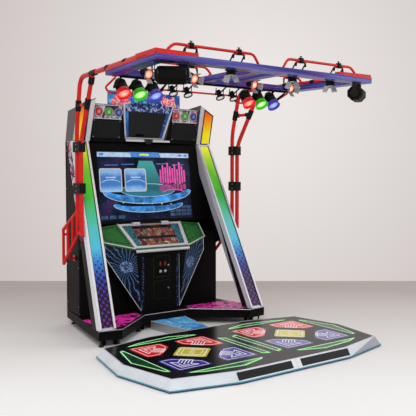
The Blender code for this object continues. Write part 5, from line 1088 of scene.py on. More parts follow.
for side, name in ((-1, "left"), (1, "right")):
    trims = bmesh.new()
    for ends in pillar["trims"]:
        pillarStrip(trims, side, *ends, *pillar["trimEnds"], pillar["trimRise"])
    edges = [edge for edge in trims.edges if edge.calc_length() > 1.0]
    bmesh.ops.bevel(trims, geom=edges, offset=0.003, affect="EDGES", segments=2, profile=0.5, material=-1)
    # the left trims are painted white as lit copies of the silver trims on the right: painted light
    newPiece(f"pillar_trims_{name}", trims, "whiteTrimPaintedLight" if side < 0 else "satinSilver")
    line = bmesh.new()
    for ends in pillar["lines"]:
        pillarStrip(line, side, *ends, *pillar["lineEnds"], pillar["lineRise"])
    newPiece(f"pillar_lines_{name}", line, "labelBlack")
    repaint(f"pillar_{name}", "pillarSide", lambda centre, normal: abs(normal.x) > 0.7
            and abs(centre.x) > 0.75)

# end towers: a lit strip between two trims, all cut on the slant at the top
tower = {"inner": 0.655, "slant": 0.52, "drop": 0.006, "low": 0.004, "stripLow": 0.014, "stripDrop": 0.016,
         "capEnds": (0.656, 0.852)}
towerHigh = along(towerPlace, head["towerZ"])
towerFace = towerPlace @ Matrix.Translation((0, 0, 0.0002))


def towerTop(x):
    return towerHigh - tower["slant"] * (x - tower["inner"]) - tower["drop"]


for side, name in ((-1, "left"), (1, "right")):
    # each piece: its edges at the foot, its edges at the top, finish and rise
    for piece, footEdges, topEdges, finish, rise in (
            ("trim_inner", (0.674, 0.7216), (0.658, 0.712), "satinSilver", 0.010),
            ("strip", (0.744, 0.846), (0.732, 0.838), "coverSweep", 0.006),
            # the outer trim is silver on the left and black on the right: the black on the right is painted
            # shade
            ("trim_outer", (0.852, 0.8572), (0.8400, 0.8500), "labelBlack" if side > 0 else "satinSilver",
             0.010),
            ("groove_inner", (0.724, 0.7352), (0.712, 0.728), "labelBlack", 0.003)):
        isStrip = piece == "strip"
        foot, drop = (tower["stripLow"], tower["stripDrop"]) if isStrip else (tower["low"], 0.0)
        outline = [(x, foot) for x in footEdges] + [(x, towerTop(x) - drop) for x in topEdges[::-1]]
        shape = bmesh.new()
        addPlate(shape, mirrored(outline, side), rise, towerFace, bevel=0.001)
        newPiece(f"tower_{piece}_{name}", shape, finish)
    inner, outer = tower["capEnds"]
    cap = bmesh.new()   # a thin trim along the slanting top
    addPlate(cap,
             mirrored([(inner, towerHigh - 0.004), (inner, towerHigh - 0.018),
                       (outer, towerTop(outer) - 0.012),
                            (outer, towerTop(outer))], side), 0.008, towerFace)
    newPiece(f"tower_cap_{name}", cap, "towerGrey")

    # lamp plate with three round lamps, and the speaker's grille below it
    low, up = along(middlePlace, head["plateLow"]), along(middlePlace, head["plateHigh"])
    middleX = side * (head["plateInner"] + head["plateOuter"]) / 2
    width = head["plateOuter"] - head["plateInner"]
    plate = bmesh.new()
    addPlate(plate, shifted(roundedOutline(width, up - low - 0.016, 0.004), middleX, (low + up) / 2),
             head["plateThick"], middlePlace, bevel=0.001)
    newPiece(f"lamp_plate_{name}", plate, "paintedReflectionPlate")
    rails = bmesh.new()
    railHalf = width / 2 + 0.003
    for edge in (low, up - 0.008):
        addBox(rails, (middleX - railHalf, edge, 0.0002), (middleX + railHalf, edge + 0.008, 0.016), 0.002,
               place=middlePlace)
    newPiece(f"lamp_plate_rails_{name}", rails, "satinSilver")
    lampX = sorted(side * x for x in head["lampX"])
    for number, (x, colour) in enumerate(zip(lampX, lampColours)):
        place = middlePlace @ Matrix.Translation((x, (low + up) / 2, head["plateThick"]))
        r = head["lampRadius"]
        ring = bmesh.new()
        addTurned(ring, [(r * 0.80, 0.0), (r, 0.0), (r, 0.008), (r * 0.96, 0.012), (r * 0.86, 0.010),
                         (r * 0.80, 0.004), (r * 0.80, 0.0)], place, 32)
        newPiece(f"head_lamp_ring_{name}_{number}", ring, "greyMetal", smooth=True)
        lens = bmesh.new()
        addTurned(lens, [(0, 0.0), (r * 0.84, 0.0), (r * 0.84, 0.006), (r * 0.60, 0.012), (r * 0.30, 0.015),
                         (0, 0.016)], place, 32)
        rim, heart = lampColours[colour]
        shade = tuple(head["lampShade"] * part for part in rim)
        finish = lensFinish(f"headLamp{name}{number}", shade, heart, 0.30, r, place, head["lampReach"])
        newPiece(f"head_lamp_{name}_{number}", lens, finish, smooth=True)
    grille = bmesh.new()
    foot = along(middlePlace, head["grilleLow"])
    addPlate(grille, shifted(roundedOutline(width, low - foot - 0.012, 0.006), middleX,
                             (low + foot) / 2 - 0.004),
             head["grilleThick"], middlePlace, bevel=0.001)
    newPiece(f"speaker_grille_{name}", grille, "grilleCloth")
    screws = bmesh.new()
    for x in (middleX - width / 2 + 0.012, middleX + width / 2 - 0.012):
        for y in (foot + 0.012, low - 0.016):
            addTurned(screws, [(0, 0), (0.005, 0), (0.005, 0.0014), (0.003, 0.0022), (0, 0.0022)],
                      middlePlace @ Matrix.Translation((x, y, head["grilleThick"])), 12)
    newPiece(f"grille_screws_{name}", screws, "boltSteel")
repaint("header_board", "blackLaminate", lambda centre, normal: normal.y > 0.7)
repaint("head_shell", "towerGrey", lambda centre, normal: abs(normal.x) > 0.7)

# upper monitor: a niche between silver edges, its shelf and camera, and the printed board above

monitor = {"lowHalf": 0.226, "highHalf": 0.290, "lowY": 1.075, "lowZ": bodyTop + 0.058, "highY": 0.975,
           "highZ": bodyTop + 0.383, "setBack": 0.006, "capLow": 0.290, "capRise": 0.044,
           "capStep": 0.020, "capHalves": (0.285, 0.298, 0.250, 0.160), "edge": 0.014}
monitorPlace = planeAt((0, monitor["lowY"] + monitor["setBack"], monitor["lowZ"]), (1, 0, 0),
                       (0, monitor["highY"] - monitor["lowY"], monitor["highZ"] - monitor["lowZ"]))
monitorHigh = along(monitorPlace, monitor["highZ"])


def monitorHalf(up):
    return monitor["lowHalf"] + (monitor["highHalf"] - monitor["lowHalf"]) * up / monitorHigh


glass = bmesh.new()
glassTop = monitor["capLow"]
glassFoot, glassHead = monitorHalf(0.02) - 0.034, monitorHalf(glassTop) - 0.042
addPlate(glass, [(-glassFoot, 0.012), (glassFoot, 0.012), (glassHead, glassTop), (-glassHead, glassTop)],
         0.004,
         monitorPlace, bevel=0.001)
newPiece("monitor_glass", glass, "darkGlass")
for side, name in ((-1, "left"), (1, "right")):
    flank = bmesh.new()
    outline = [(monitorHalf(0.008) - 0.003, 0.006), (monitorHalf(glassTop) - 0.004, glassTop),
               (monitorHalf(glassTop) - 0.040, glassTop), (monitorHalf(0.008) - 0.032, 0.006)]
    addPlate(flank, mirrored(outline, side), 0.005, monitorPlace)
    newPiece(f"monitor_flank_{name}", flank, "headerPrint")
capPlace = monitorPlace @ Matrix.Translation((0, 0, monitor["setBack"] + 0.002))
cap = bmesh.new()
capHeights = (glassTop - 0.004, monitorHigh + monitor["capStep"], monitorHigh + monitor["capStep"],
              monitorHigh + monitor["capRise"])
capRight = list(zip(monitor["capHalves"], capHeights))
addPlate(cap, capRight + [(-x, y) for x, y in capRight[::-1]], 0.006, capPlace, bevel=0.001)
newPiece("monitor_cap", cap, "capPrint")
edges = bmesh.new()
for side in (-1, 1):
    low, high = (monitorHalf(up) + monitor["edge"] for up in (0, monitorHigh))
    addRod(edges, monitorPlace @ Vector((side * low, -0.020, 0.010)),
           monitorPlace @ Vector((side * high, monitorHigh + 0.024, 0.012)), 0.009, 12, 0.001)
newPiece("monitor_edges", edges, "satinSilver", smooth=True)

shelf = {"z": bodyTop + 0.026, "backY": 1.035, "frontY": 0.985, "backHalf": 0.235, "frontHalf": 0.275,
         "eye": 0.052, "thick": 0.004, "lipHigh": 0.018}
ledge = bmesh.new()
addPlate(ledge, [(-shelf["frontHalf"], shelf["frontY"]), (shelf["frontHalf"], shelf["frontY"]),
                 (shelf["backHalf"], shelf["backY"]), (-shelf["backHalf"], shelf["backY"])], shelf["thick"],
         Matrix.Translation((0, 0, shelf["z"])), bevel=0.001)
lip = planeAt((0, shelf["frontY"] + 0.004, shelf["z"] - 0.016), (1, 0, 0), (0, -0.3, 1))
addBox(ledge, (-shelf["frontHalf"], 0, -0.002), (shelf["frontHalf"], shelf["lipHigh"], 0.002), place=lip)
newPiece("monitor_shelf", ledge, "satinSilver")
eye = bmesh.new()
eyePlace = (Matrix.Translation((0, shelf["frontY"] - 0.002, shelf["z"] + 0.010)) @
            Matrix.Rotation(math.radians(90), 4, "X"))
addTurned(eye, [(0, 0.030), (0.014, 0.029), (0.018, 0.026), (0.020, 0.020), (shelf["eye"] * 0.8, 0.016),
                (shelf["eye"], 0.008), (shelf["eye"], -0.010), (0, -0.010)], eyePlace, 28)
bmesh.ops.bisect_plane(eye, geom=list(eye.verts) + list(eye.edges) + list(eye.faces),
                       plane_co=(0, 0, shelf["z"] + 0.012), plane_no=(0, 0, 1), clear_outer=True)
bmesh.ops.holes_fill(eye, edges=[edge for edge in eye.edges if edge.is_boundary], sides=0)
newPiece("shelf_camera", eye, "rubber", smooth=True)
lookout = bmesh.new()
addTurned(lookout, [(0, 0.034), (0.006, 0.033), (0.009, 0.030), (0.009, 0.026), (0, 0.026)],
          eyePlace @ Matrix.Translation((0, -0.016, -0.006)), 16)
newPiece("shelf_camera_lens", lookout, "darkGlass", smooth=True)
print("upper monitor ready")

# main display: a generic menu drawn in thin lit shapes

screen = {"lowY": 0.983, "lowZ": 1.112, "highY": 1.064, "highZ": 1.848, "back": 0.0038, "lift": 0.0008,
          "ringX": 0.02, "tileX": (-0.435, -0.135), "tileUp": 0.430, "tileThick": 0.0016}
screenPlace = planeAt((0, screen["lowY"], screen["lowZ"]), (1, 0, 0),
                      (0, screen["highY"] - screen["lowY"], screen["highZ"] - screen["lowZ"]))
screenHigh = along(screenPlace, screen["highZ"])


def drawn(name, finish, outlines, level, lift=screen["lift"]):
    # lit shapes a few steps of height above the glass, each level over the one before
    shape = bmesh.new()
    place = screenPlace @ Matrix.Translation((0, 0, -screen["back"] + level * screen["lift"]))
    for outline in outlines:
        addPlate(shape, outline, lift, place)
    newPiece(name, shape, finish)


def oblong(left, low, right, high):
    return [(left, low), (right, low), (right, high), (left, high)]


def arcBand(cx, cy, rx, ry, width, depth, start, stop, steps=24):
    # an elliptical band, width across its ends and depth at its middle
    angles = [math.radians(start + (stop - start) * step / steps) for step in range(steps + 1)]
    outer, inner = ([(cx + halfX * math.cos(angle), cy + halfY * math.sin(angle)) for angle in angles]
                    for halfX, halfY in ((rx, ry), (rx - width, ry - depth)))
    return [list(corners) for corners in zip(outer, outer[1:], inner[1:], inner)]


top = screenHigh
ringX = screen["ringX"]
drawn("menu_bar", "menuPale", [oblong(-0.580, top - 0.062, 0.575, top - 0.012)], 2)
tab = [(-0.170, top - 0.062), (0.200, top - 0.062), (0.180, top - 0.006), (-0.190, top - 0.006)]
drawn("menu_tab", "menuBlue", [tab], 3)
drawn("menu_tab_light", "menuLime", [shifted(roundedOutline(0.120, 0.020, 0.010), -0.01, top - 0.034)], 4)
ends = [shifted(roundedOutline(0.050, 0.022, 0.010), x, top - 0.036) for x in (-0.53, 0.53, 0.46)]
drawn("menu_ends", "menuBlue", ends, 3)
beam = [(-0.190, 0.330), (0.230, 0.330), (0.090, top - 0.100), (-0.080, top - 0.100)]
drawn("stage_beam", "stageTeal", [beam], 1)
angles = [math.tau * step / 40 for step in range(40)]
disc = [(ringX + 0.330 * math.cos(angle), 0.318 + 0.068 * math.sin(angle)) for angle in angles]
drawn("stage_disc", "stageTeal", [disc], 2)
drawn("stage_ring_upper", "ringBlue", arcBand(ringX, 0.305, 0.545, 0.125, 0.075, 0.078, 172, 368), 2)
drawn("stage_ring_line", "menuPale", arcBand(ringX, 0.303, 0.556, 0.134, 0.010, 0.008, 176, 364) +
      arcBand(ringX, 0.318, 0.345, 0.074, 0.008, 0.006, 0, 360), 3)
drawn("stage_ring_lower", "ringBlue", arcBand(ringX, 0.165, 0.430, 0.080, 0.070, 0.058, 172, 368), 2)
drawn("stage_ring_lower_line", "menuPale", arcBand(ringX, 0.163, 0.440, 0.088, 0.009, 0.008, 176, 364), 3)
rafters = [[(x, up - 0.130), (x + 0.16, up - 0.126), (x + 0.16, up - 0.118), (x, up - 0.122)]
           for x, up in ((x, top - abs(x) * 0.05) for x in (-0.50, -0.30, 0.14, 0.34))]
drawn("hall_rafters", "menuBlue", rafters, 1)
for number, x in enumerate(screen["tileX"]):
    for part, finish, width, height, radius, level in (("edge", "satinSilver", 0.268, 0.252, 0.026, 3),
                                                       ("face", "tileBlue", 0.244, 0.228, 0.020, 5)):
        outline = shifted(roundedOutline(width, height, radius), x, screen["tileUp"])
        drawn(f"tile_{part}_{number}", finish, [outline], level, screen["tileThick"])
    drawn(f"tile_wave_{number}", "menuPale", arcBand(x, 0.350, 0.150, 0.090, 0.010, 0.008, 40, 140, 14), 8)
    marks = [oblong(x - 0.06, 0.452, x + 0.06, 0.466), oblong(x - 0.04, 0.428, x + 0.04, 0.440)]
    drawn(f"tile_mark_{number}", "menuPale", marks, 8)
bars = {"left": 0.175, "pitch": 0.0315, "wide": 0.022, "middle": 0.430, "hang": 0.25,
        "heights": (0.115, 0.165, 0.140, 0.190, 0.150, 0.130, 0.175, 0.120, 0.200, 0.155, 0.110)}
lefts = [bars["left"] + number * bars["pitch"] for number in range(len(bars["heights"]))]
drawn("sound_bars", "pinkBars",
      [oblong(left, bars["middle"] - height * bars["hang"], left + bars["wide"], bars["middle"] + height)
       for left, height in zip(lefts, bars["heights"])], 4)
drawn("sound_bars_foot", "pinkDark",
      [oblong(0.165 + number * 0.045, 0.310 + 0.012 * (number % 2), 0.200 + number * 0.045,
            0.375 + 0.010 * (number % 3)) for number in range(8)], 4)
drawn("sound_bars_wave", "pinkBars", arcBand(0.345, 0.150, 0.260, 0.180, 0.014, 0.012, 55, 125, 16), 5)
cells = [oblong(0.290 + column * 0.072, 0.028 + row * 0.040, 0.352 + column * 0.072, 0.060 + row * 0.040)
         for column in range(4) for row in range(3)]
drawn("menu_cells", "cellBlue", cells, 2)
cells = [oblong(-0.570 + column * 0.10, 0.020, -0.490 + column * 0.10, 0.055) for column in range(3)]
drawn("menu_cells_left", "cellBlue", cells, 2)
lights = [shifted(roundedOutline(0.016, 0.010, 0.004), -0.30 + 0.12 * number, 0.190 - 0.006 * number)
          for number in range(6)]
drawn("menu_lights", "menuLime", lights, 5)
print("main display ready")

# console: panel frame, wings, flanks, coin side

console = {"frontHalf": 0.327, "frontY": 0.705, "frontZ": 0.834, "backHalf": 0.393, "backY": 0.972,
           "backZ": 1.073,
           "wingX": 0.630, "wingY": 0.820, "wingZ": 0.905, "wingBackX": 0.650, "wingBackZ": 1.045,
           "border": 0.034,
           "podiumY": 0.750, "barY": 0.693, "barZ": 0.805, "barHalf": 0.335}
consolePlace = planeAt((0, console["frontY"], console["frontZ"]), (1, 0, 0),
                       (0, console["backY"] - console["frontY"], console["backZ"] - console["frontZ"]))
consoleHigh = along(consolePlace, console["backZ"])


def consoleHalf(up):
    return console["frontHalf"] + (console["backHalf"] - console["frontHalf"]) * up / consoleHigh


def trapezoid(low, high, lowIn, highIn):
    lowHalf, highHalf = consoleHalf(panel["low"]) - lowIn, consoleHalf(panel["high"]) - highIn
    return [(-lowHalf, low), (lowHalf, low), (highHalf, high), (-highHalf, high)]


# a frame between two trapezoids on the sloping panel
panel = {"low": 0.004, "high": consoleHigh - 0.004, "margin": 0.004, "lowIn": 0.030, "highIn": 0.036,
         "lowBorder": 0.8, "highBorder": 0.7, "thick": 0.005}
panelFrame = bmesh.new()
outer = trapezoid(panel["low"], panel["high"], panel["margin"], panel["margin"])
inner = trapezoid(panel["low"] + console["border"] * panel["lowBorder"],
                  panel["high"] - console["border"] * panel["highBorder"], panel["lowIn"], panel["highIn"])
for start in range(4):
    stop = (start + 1) % 4
    addPlate(panelFrame, [outer[start], outer[stop], inner[stop], inner[start]], panel["thick"],
             consolePlace @ Matrix.Translation((0, 0, 0.0003)))
newPiece("panel_frame", panelFrame, "satinSilver")
surround = bmesh.new()
for side in (-1, 1):
    foot, head = consoleHalf(0.04), consoleHalf(0.28)
    outline = [(foot - 0.032, 0.036), (foot - 0.100, 0.036), (head - 0.130, consoleHigh - 0.032),
               (head - 0.038, consoleHigh - 0.032)]
    addPlate(surround, mirrored(outline, side), 0.0016,
             consolePlace @ Matrix.Translation((0, 0, 0.0012)))
newPiece("panel_side_print", surround, "cornerTeal")
wear("menuGlow", "touch_screen")
marks = bmesh.new()
for number in range(3):
    addBox(marks, (-0.110 + 0.085 * number, 0.066, 0.0012), (-0.060 + 0.085 * number, 0.076, 0.0020),
           place=consolePlace)
newPiece("menu_marks", marks, "menuLime")

wingEdges = bmesh.new()
for side in (-1, 1):
    points = [Vector((side * console["frontHalf"], console["frontY"] - 0.002, console["frontZ"] + 0.002)),
              Vector((side * console["wingX"], console["wingY"] - 0.002, console["wingZ"] + 0.002)),
              Vector((side * console["wingBackX"], console["backY"], console["wingBackZ"] + 0.002))]
    addRods(wingEdges, points, 0.0065, 10)
    addRod(wingEdges, points[0] + Vector((0, 0, 0.002)),
           consolePlace @ Vector((side * console["backHalf"], consoleHigh, 0.003)), 0.007, 10)
newPiece("wing_edges", wingEdges, "satinSilver", smooth=True)
innerLine = bmesh.new()
wingInner = [(0.372, 0.760, 0.880), (0.600, 0.838, 0.926), (0.618, 0.950, 1.030), (0.422, 0.950, 1.054)]
for side in (-1, 1):
    addRods(innerLine, [(side * x, y, z) for x, y, z in wingInner], 0.003, closed=True)
newPiece("wing_inner_lines", innerLine, "labelBlack", smooth=True)


def barAt(x):
    return Vector((x, console["barY"], console["barZ"]))


bar = bmesh.new()
addRod(bar, barAt(-console["barHalf"]), barAt(console["barHalf"]), 0.0165, 20, 0.003)
newPiece("front_bar", bar, "satinSilver", smooth=True)
barEnds = bmesh.new()
for side in (-1, 1):
    addRod(barEnds, barAt(side * (console["barHalf"] - 0.002)), barAt(side * (console["barHalf"] + 0.010)),
           0.020, 16,
           0.003)
newPiece("front_bar_ends", barEnds, "clampBlack", smooth=True)

readerX = (-0.185, 0.175)
pods = bmesh.new()
for x in readerX:
    addBox(pods, (x - 0.045, 0.925, 1.050), (x + 0.045, 0.968, 1.090), 0.006)
    addBox(pods, (x - 0.030, 0.918, 1.058), (x + 0.030, 0.927, 1.080), 0.002)
newPiece("card_readers", pods, "satinSilver")
readerBar = bmesh.new()
addRod(readerBar, (-0.140, 0.950, 1.078), (0.130, 0.950, 1.078), 0.008, 12)
newPiece("reader_bar", readerBar, "clampBlack", smooth=True)
slits = bmesh.new()
for x in readerX:
    addBox(slits, (x - 0.022, 0.9172, 1.067), (x + 0.022, 0.9184, 1.071))
newPiece("reader_slits", slits, "blackSlat")

# flanks and podium


def flankFace(centre, normal):
    return abs(centre.x) > 0.245 and abs(normal.z) < 0.3 and normal.y < -0.5 and abs(normal.x) > 0.2


repaint("console_body", "burstPrint", flankFace)
column = {"x": 0.2200, "half": 0.0175, "low": 0.175, "high": 0.742}
columns = bmesh.new()
for side in (-1, 1):
    middle = side * column["x"]
    addBox(columns, (middle - column["half"], console["podiumY"] - 0.0016, column["low"]),
           (middle + column["half"], console["podiumY"] + 0.0002, column["high"]))
newPiece("podium_columns", columns, "columnDots")
flankEdge = [(0.240, 0.749, 0.172), (0.618, 0.825, 0.755), (0.618, 0.825, 0.879)]
podLines = bmesh.new()
for side in (-1, 1):
    corners = [(side * x, y, z) for x, y, z in flankEdge]
    addRods(podLines, corners, 0.0035)
    addRod(podLines, corners[0], (side * 0.2395, console["podiumY"] - 0.001, 0.745), 0.0025, 8)
newPiece("flank_lines", podLines, "satinSilver", smooth=True)

# coin side: lit slots, button bezels, locks, hinges and door edges
coinX = (0.0, 0.060)
doorFace = console["podiumY"]
slots, mouths, bezels = bmesh.new(), bmesh.new(), bmesh.new()
for x in coinX:
    addPlate(slots, roundedOutline(0.015, 0.044, 0.004), 0.002, facing(x, doorFace, 0.650), bevel=0.0006)
    addBox(mouths, (x - 0.0022, 0.7472, 0.634), (x + 0.0022, 0.7482, 0.666))
    for low, high in ((-0.018, -0.015), (0.015, 0.018)):
        addBox(bezels, (x + low, 0.7470, 0.552), (x + high, doorFace, 0.588))
        addBox(bezels, (x - 0.018, 0.7470, 0.570 + low), (x + 0.018, doorFace, 0.570 + high))
newPiece("slot_plates", slots, "redLit", "coin_door")
newPiece("slot_mouths", mouths, "blackSlat", "coin_door")
newPiece("button_bezels", bezels, "powderBlack", "coin_door")


def lockAt(name, x, z, body):
    barrel = bmesh.new()
    addTurned(barrel, [(0, 0.006), (0.0065, 0.006), (0.009, 0.0045), (0.0095, 0.0), (0, 0.0)],
              facing(x, doorFace, z), 20)
    newPiece(name, barrel, "boltSteel", body, smooth=True)
    key = bmesh.new()
    addBox(key, (x - 0.0011, 0.7434, z - 0.005), (x + 0.0011, 0.7441, z + 0.005))
    newPiece(name + "_keyway", key, "blackSlat", body)


lockAt("coin_lock", 0.100, 0.630, "coin_door")
lockAt("cash_lock", 0.100, 0.385, "cash_door")
for door, low, high in (("coin_door", 0.515, 0.730), ("cash_door", 0.285, 0.465)):
    hinge = jointPlace(door)
    knuckles = bmesh.new()
    for z in (low, high - 0.030):
        addRod(knuckles, (hinge[0], hinge[1], z), (hinge[0], hinge[1], z + 0.030), 0.0035, 10)
    newPiece(door + "_knuckles", knuckles, "powderBlack", door, smooth=True)
    edge = bmesh.new()
    addBorder(edge, (-0.084, low - 0.006), (0.120, high + 0.006), 0.003, (0.7492, 0.7502))
    newPiece(door + "_edge", edge, "blackSlat", door)
print("console ready")

# side frames: clamps, fittings, bolts and foot caps

sideFrame = {"x": 0.957, "rearY": 0.735, "frontY": 0.645, "clamps": (1.466, 1.866), "clampHigh": 0.100,
          "plate": 0.0335, "skin": 0.0305, "armZ": 2.523, "armBack": (0.970, 0.620),
          "armFront": (1.100, -0.780),
          "jointY": 0.300, "armSleeves": (-0.055, -0.430, -0.745), "sleeve": 0.0285, "boltRise": 0.024,
          "footZ": (0.996, 1.004)}
rearTee = Vector((0.9628, 0.6839, 2.260))
frontTee = Vector((0.9813, 0.4493, 2.260))
rearRun = Vector((0.013, -0.115, 0.473)).normalized()
frontRun = Vector((0.043, -0.345, 0.608)).normalized()


def armPoint(y, side=1):
    (backX, backY), (frontX, frontY) = sideFrame["armBack"], sideFrame["armFront"]
    x = backX + (frontX - backX) * (backY - y) / (backY - frontY)
    return Vector((side * x, y, sideFrame["armZ"]))


def sided(point, side):
    return Vector((point.x * side, point.y, point.z))


def addSleeve(shape, middle, run, half, radius, steps=16):
    addRod(shape, middle - run * half, middle + run * half, radius, steps, 0.002)


def clampFace(centre, normal):
    near = min(abs(centre.z - z) for z in sideFrame["clamps"]) < 0.060
    return near and abs(centre.x) < 0.99 and centre.y < 0.77 and abs(normal.z) > 0.9


for side, name in ((-1, "left"), (1, "right")):
    clamps = bmesh.new()
    middleY = (sideFrame["rearY"] + sideFrame["frontY"]) / 2
    span = sideFrame["rearY"] - sideFrame["frontY"] + 2 * sideFrame["skin"]
    for z in sideFrame["clamps"]:
        addPlate(clamps, roundedOutline(2 * sideFrame["plate"], span, 0.005), sideFrame["clampHigh"],
                 Matrix.Translation((side * sideFrame["x"], middleY, z - sideFrame["clampHigh"] / 2)),
                 bevel=0.002)
    newPiece(f"frame_clamps_{name}", clamps, "clampBlack")
    fittings = bmesh.new()
    for point, run in ((rearTee, rearRun), (frontTee, frontRun)):
        addSleeve(fittings, sided(point, side), sided(run, side), 0.052, sideFrame["sleeve"])
    strut = (frontTee - rearTee).normalized()
    for point, turn in ((rearTee, 1), (frontTee, -1)):
        start, stop = (sided(point + strut * away * turn, side) for away in (0.020, 0.062))
        addRod(fittings, start, stop, 0.0235, 14, 0.002)
    joint = armPoint(sideFrame["jointY"], side)
    arm = (armPoint(0, side) - armPoint(1, side)).normalized()
    addSleeve(fittings, joint + arm * 0.02, arm, 0.060, sideFrame["sleeve"])
    addSleeve(fittings, joint - sided(frontRun, side) * 0.070, sided(frontRun, side), 0.034,
              sideFrame["sleeve"])
    for y in sideFrame["armSleeves"]:
        addSleeve(fittings, armPoint(y, side), arm, 0.024, 0.0275)
    newPiece(f"frame_fittings_{name}", fittings, "clampBlack", smooth=True)
    bolts = bmesh.new()
    for z in [z + rise for z in sideFrame["clamps"] for rise in (-sideFrame["boltRise"],
                                                                 sideFrame["boltRise"])]:
        for turn in (1, -1):
            start, stop = (side * (sideFrame["x"] + turn * (sideFrame["skin"] + away))
                           for away in (-0.001, 0.006))
            addRod(bolts, (start, middleY, z), (stop, middleY, z), 0.0065, 6, 0.001)
    for point, run in ((rearTee, rearRun), (frontTee, frontRun)):
        for shift in (-0.034, 0.034):
            start, stop = (sided(point + run * shift + Vector((away, 0, 0)), side)
                           for away in (0.027, 0.033))
            addRod(bolts, start, stop, 0.0055, 6, 0.001)
    newPiece(f"frame_bolts_{name}", bolts, "boltSteel")
    caps = bmesh.new()
    for y in (sideFrame["rearY"], sideFrame["frontY"]):
        start, stop = ((side * sideFrame["x"], y, z) for z in sideFrame["footZ"])
        addRod(caps, start, stop, 0.0245, 20, 0.002)
    newPiece(f"frame_foot_caps_{name}", caps, "rubber", smooth=True)
    repaint(f"side_frame_{name}", "clampBlack", clampFace)
print("side frames ready")

# roof: red ends and caps, black yokes, rings on the small lamps

roof = {"high": 2.500, "frontY": -1.090, "backY": -0.100, "frontHalf": 1.180, "backHalf": 1.080,
        "capLong": 0.380, "capDeep": 0.340, "capThick": 0.010, "capLift": 0.0004, "strip": (-1.070, -0.120),
        "screws": ((0.06, 0.05), (0.36, 0.05), (0.06, 0.30), (0.12, 0.18)), "frontRailTop": 2.592,
        "midRailTop": 2.570, "spots": (0.345, 0.817)}


def roofHalf(y):
    share = (y - roof["frontY"]) / (roof["backY"] - roof["frontY"])
    return roof["frontHalf"] + (roof["backHalf"] - roof["frontHalf"]) * share


repaint("roof_frame", "trussFace", lambda centre, normal: centre.z > 2.449 and abs(normal.z) < 0.3)
repaint("roof_frame", "clampBlack", lambda centre, normal: centre.z < 2.449)
for side, name in ((-1, "left"), (1, "right")):
    cap = bmesh.new()   # an L-shaped plate over the front corner
    frontY, deepY = roof["frontY"], roof["frontY"] + roof["capDeep"]
    inside = roofHalf(deepY) - 0.125
    corner = [(roofHalf(frontY), frontY), (roof["frontHalf"] - roof["capLong"], frontY),
              (roof["frontHalf"] - roof["capLong"], frontY + 0.115), (inside - 0.060, frontY + 0.115),
              (inside, frontY + 0.175), (inside, deepY), (roofHalf(deepY), deepY)]
    onRoof = Matrix.Translation((0, 0, roof["high"] + roof["capLift"]))
    addPlate(cap, mirrored(corner, side), roof["capThick"], onRoof, bevel=0.003)
    # a red strip along the top of each end beam, with a thin lip down its outer face
    (startY, stopY), (startX, stopX) = roof["strip"], (roofHalf(y) for y in roof["strip"])
    strip = [(startX + 0.002, startY), (stopX + 0.002, stopY), (stopX - 0.045, stopY),
             (startX - 0.045, startY)]
    addPlate(cap, mirrored(strip, side), 0.010, onRoof, bevel=0.002)
    lip = [(startX + 0.0004, startY), (startX + 0.003, startY), (stopX + 0.003, stopY),
           (stopX + 0.0004, stopY)]
    addPlate(cap, mirrored(lip, side), 0.014, Matrix.Translation((0, 0, roof["high"] - 0.013)))
    frontLip = [(roof["frontHalf"] - 0.006, 0), (roof["frontHalf"] - roof["capLong"], 0),
                (roof["frontHalf"] - roof["capLong"], 0.003), (roof["frontHalf"] - 0.006, 0.011)]
    addPlate(cap, mirrored(frontLip, side), 0.003,
             planeAt((0, frontY - 0.001, roof["high"] + 0.001), (1, 0, 0), (0, 0, -1)))
    newPiece(f"roof_cap_{name}", cap, "redPaint")
    screws = bmesh.new()
    for x, y in roof["screws"]:
        start = Vector((side * (roof["frontHalf"] - x), frontY + y, roof["high"] + roof["capThick"]))
        addRod(screws, start, start + Vector((0, 0, 0.004)), 0.008, 6, 0.001)
    newPiece(f"roof_cap_screws_{name}", screws, "boltSteel")
for row, top in (("front", roof["frontRailTop"]), ("mid", roof["midRailTop"])):
    def yokeFace(centre, normal):
        near = min(abs(abs(centre.x) - x) for x in roof["spots"])
        return near < 0.0185 or (near < 0.10 and centre.z < top - 0.02)

    for side in ("left", "right"):
        repaint(f"{row}_rail_{side}", "clampBlack", yokeFace)
grip = {"frontY": -1.010, "midY": -0.340, "size": 0.046, "wide": 0.030, "archHalf": 0.058,
        "archHigh": 0.062,
        "archDrop": 0.052, "archSteps": 8}
archAngles = [math.pi * step / grip["archSteps"] for step in range(grip["archSteps"] + 1)]
grips = bmesh.new()
for y, top in ((grip["frontY"], roof["frontRailTop"]), (grip["midY"], roof["midRailTop"])):
    for x in [side * x for x in roof["spots"] for side in (-1, 1)]:
        addPlate(grips, roundedOutline(grip["size"], grip["size"], 0.012), grip["wide"],
                 Matrix.Translation((x - grip["wide"] / 2, y, top)) @ Matrix.Rotation(math.radians(90), 4,
                                                                                      "Y"),
                 bevel=0.001)
        addRod(grips, (x, y, top + 0.018), (x, y, top + 0.034), 0.006, 8, 0.001)
        addBox(grips, (x - 0.013, y - 0.004, top + 0.032), (x + 0.013, y + 0.004, top + 0.038), 0.001)
        # an arch over the rail, down to the lamp's bracket
        addRods(grips, [Vector((x + grip["archHalf"] * math.cos(angle), y,
                                top - grip["archDrop"] + grip["archHigh"] * math.sin(angle)))
                        for angle in archAngles], 0.0075)
newPiece("rail_grips", grips, "clampBlack")
washers = bmesh.new()
for y, outer in ((grip["frontY"], 1.030), (grip["midY"], 1.008)):
    for x in (side * x + shift for x in (0.138, outer) for side in (-1, 1) for shift in (0.017, -0.017)):
        addRod(washers, (x, y, roof["high"] + 0.004), (x, y, roof["high"] + 0.010), 0.005, 6)
newPiece("rail_foot_bolts", washers, "boltSteel")

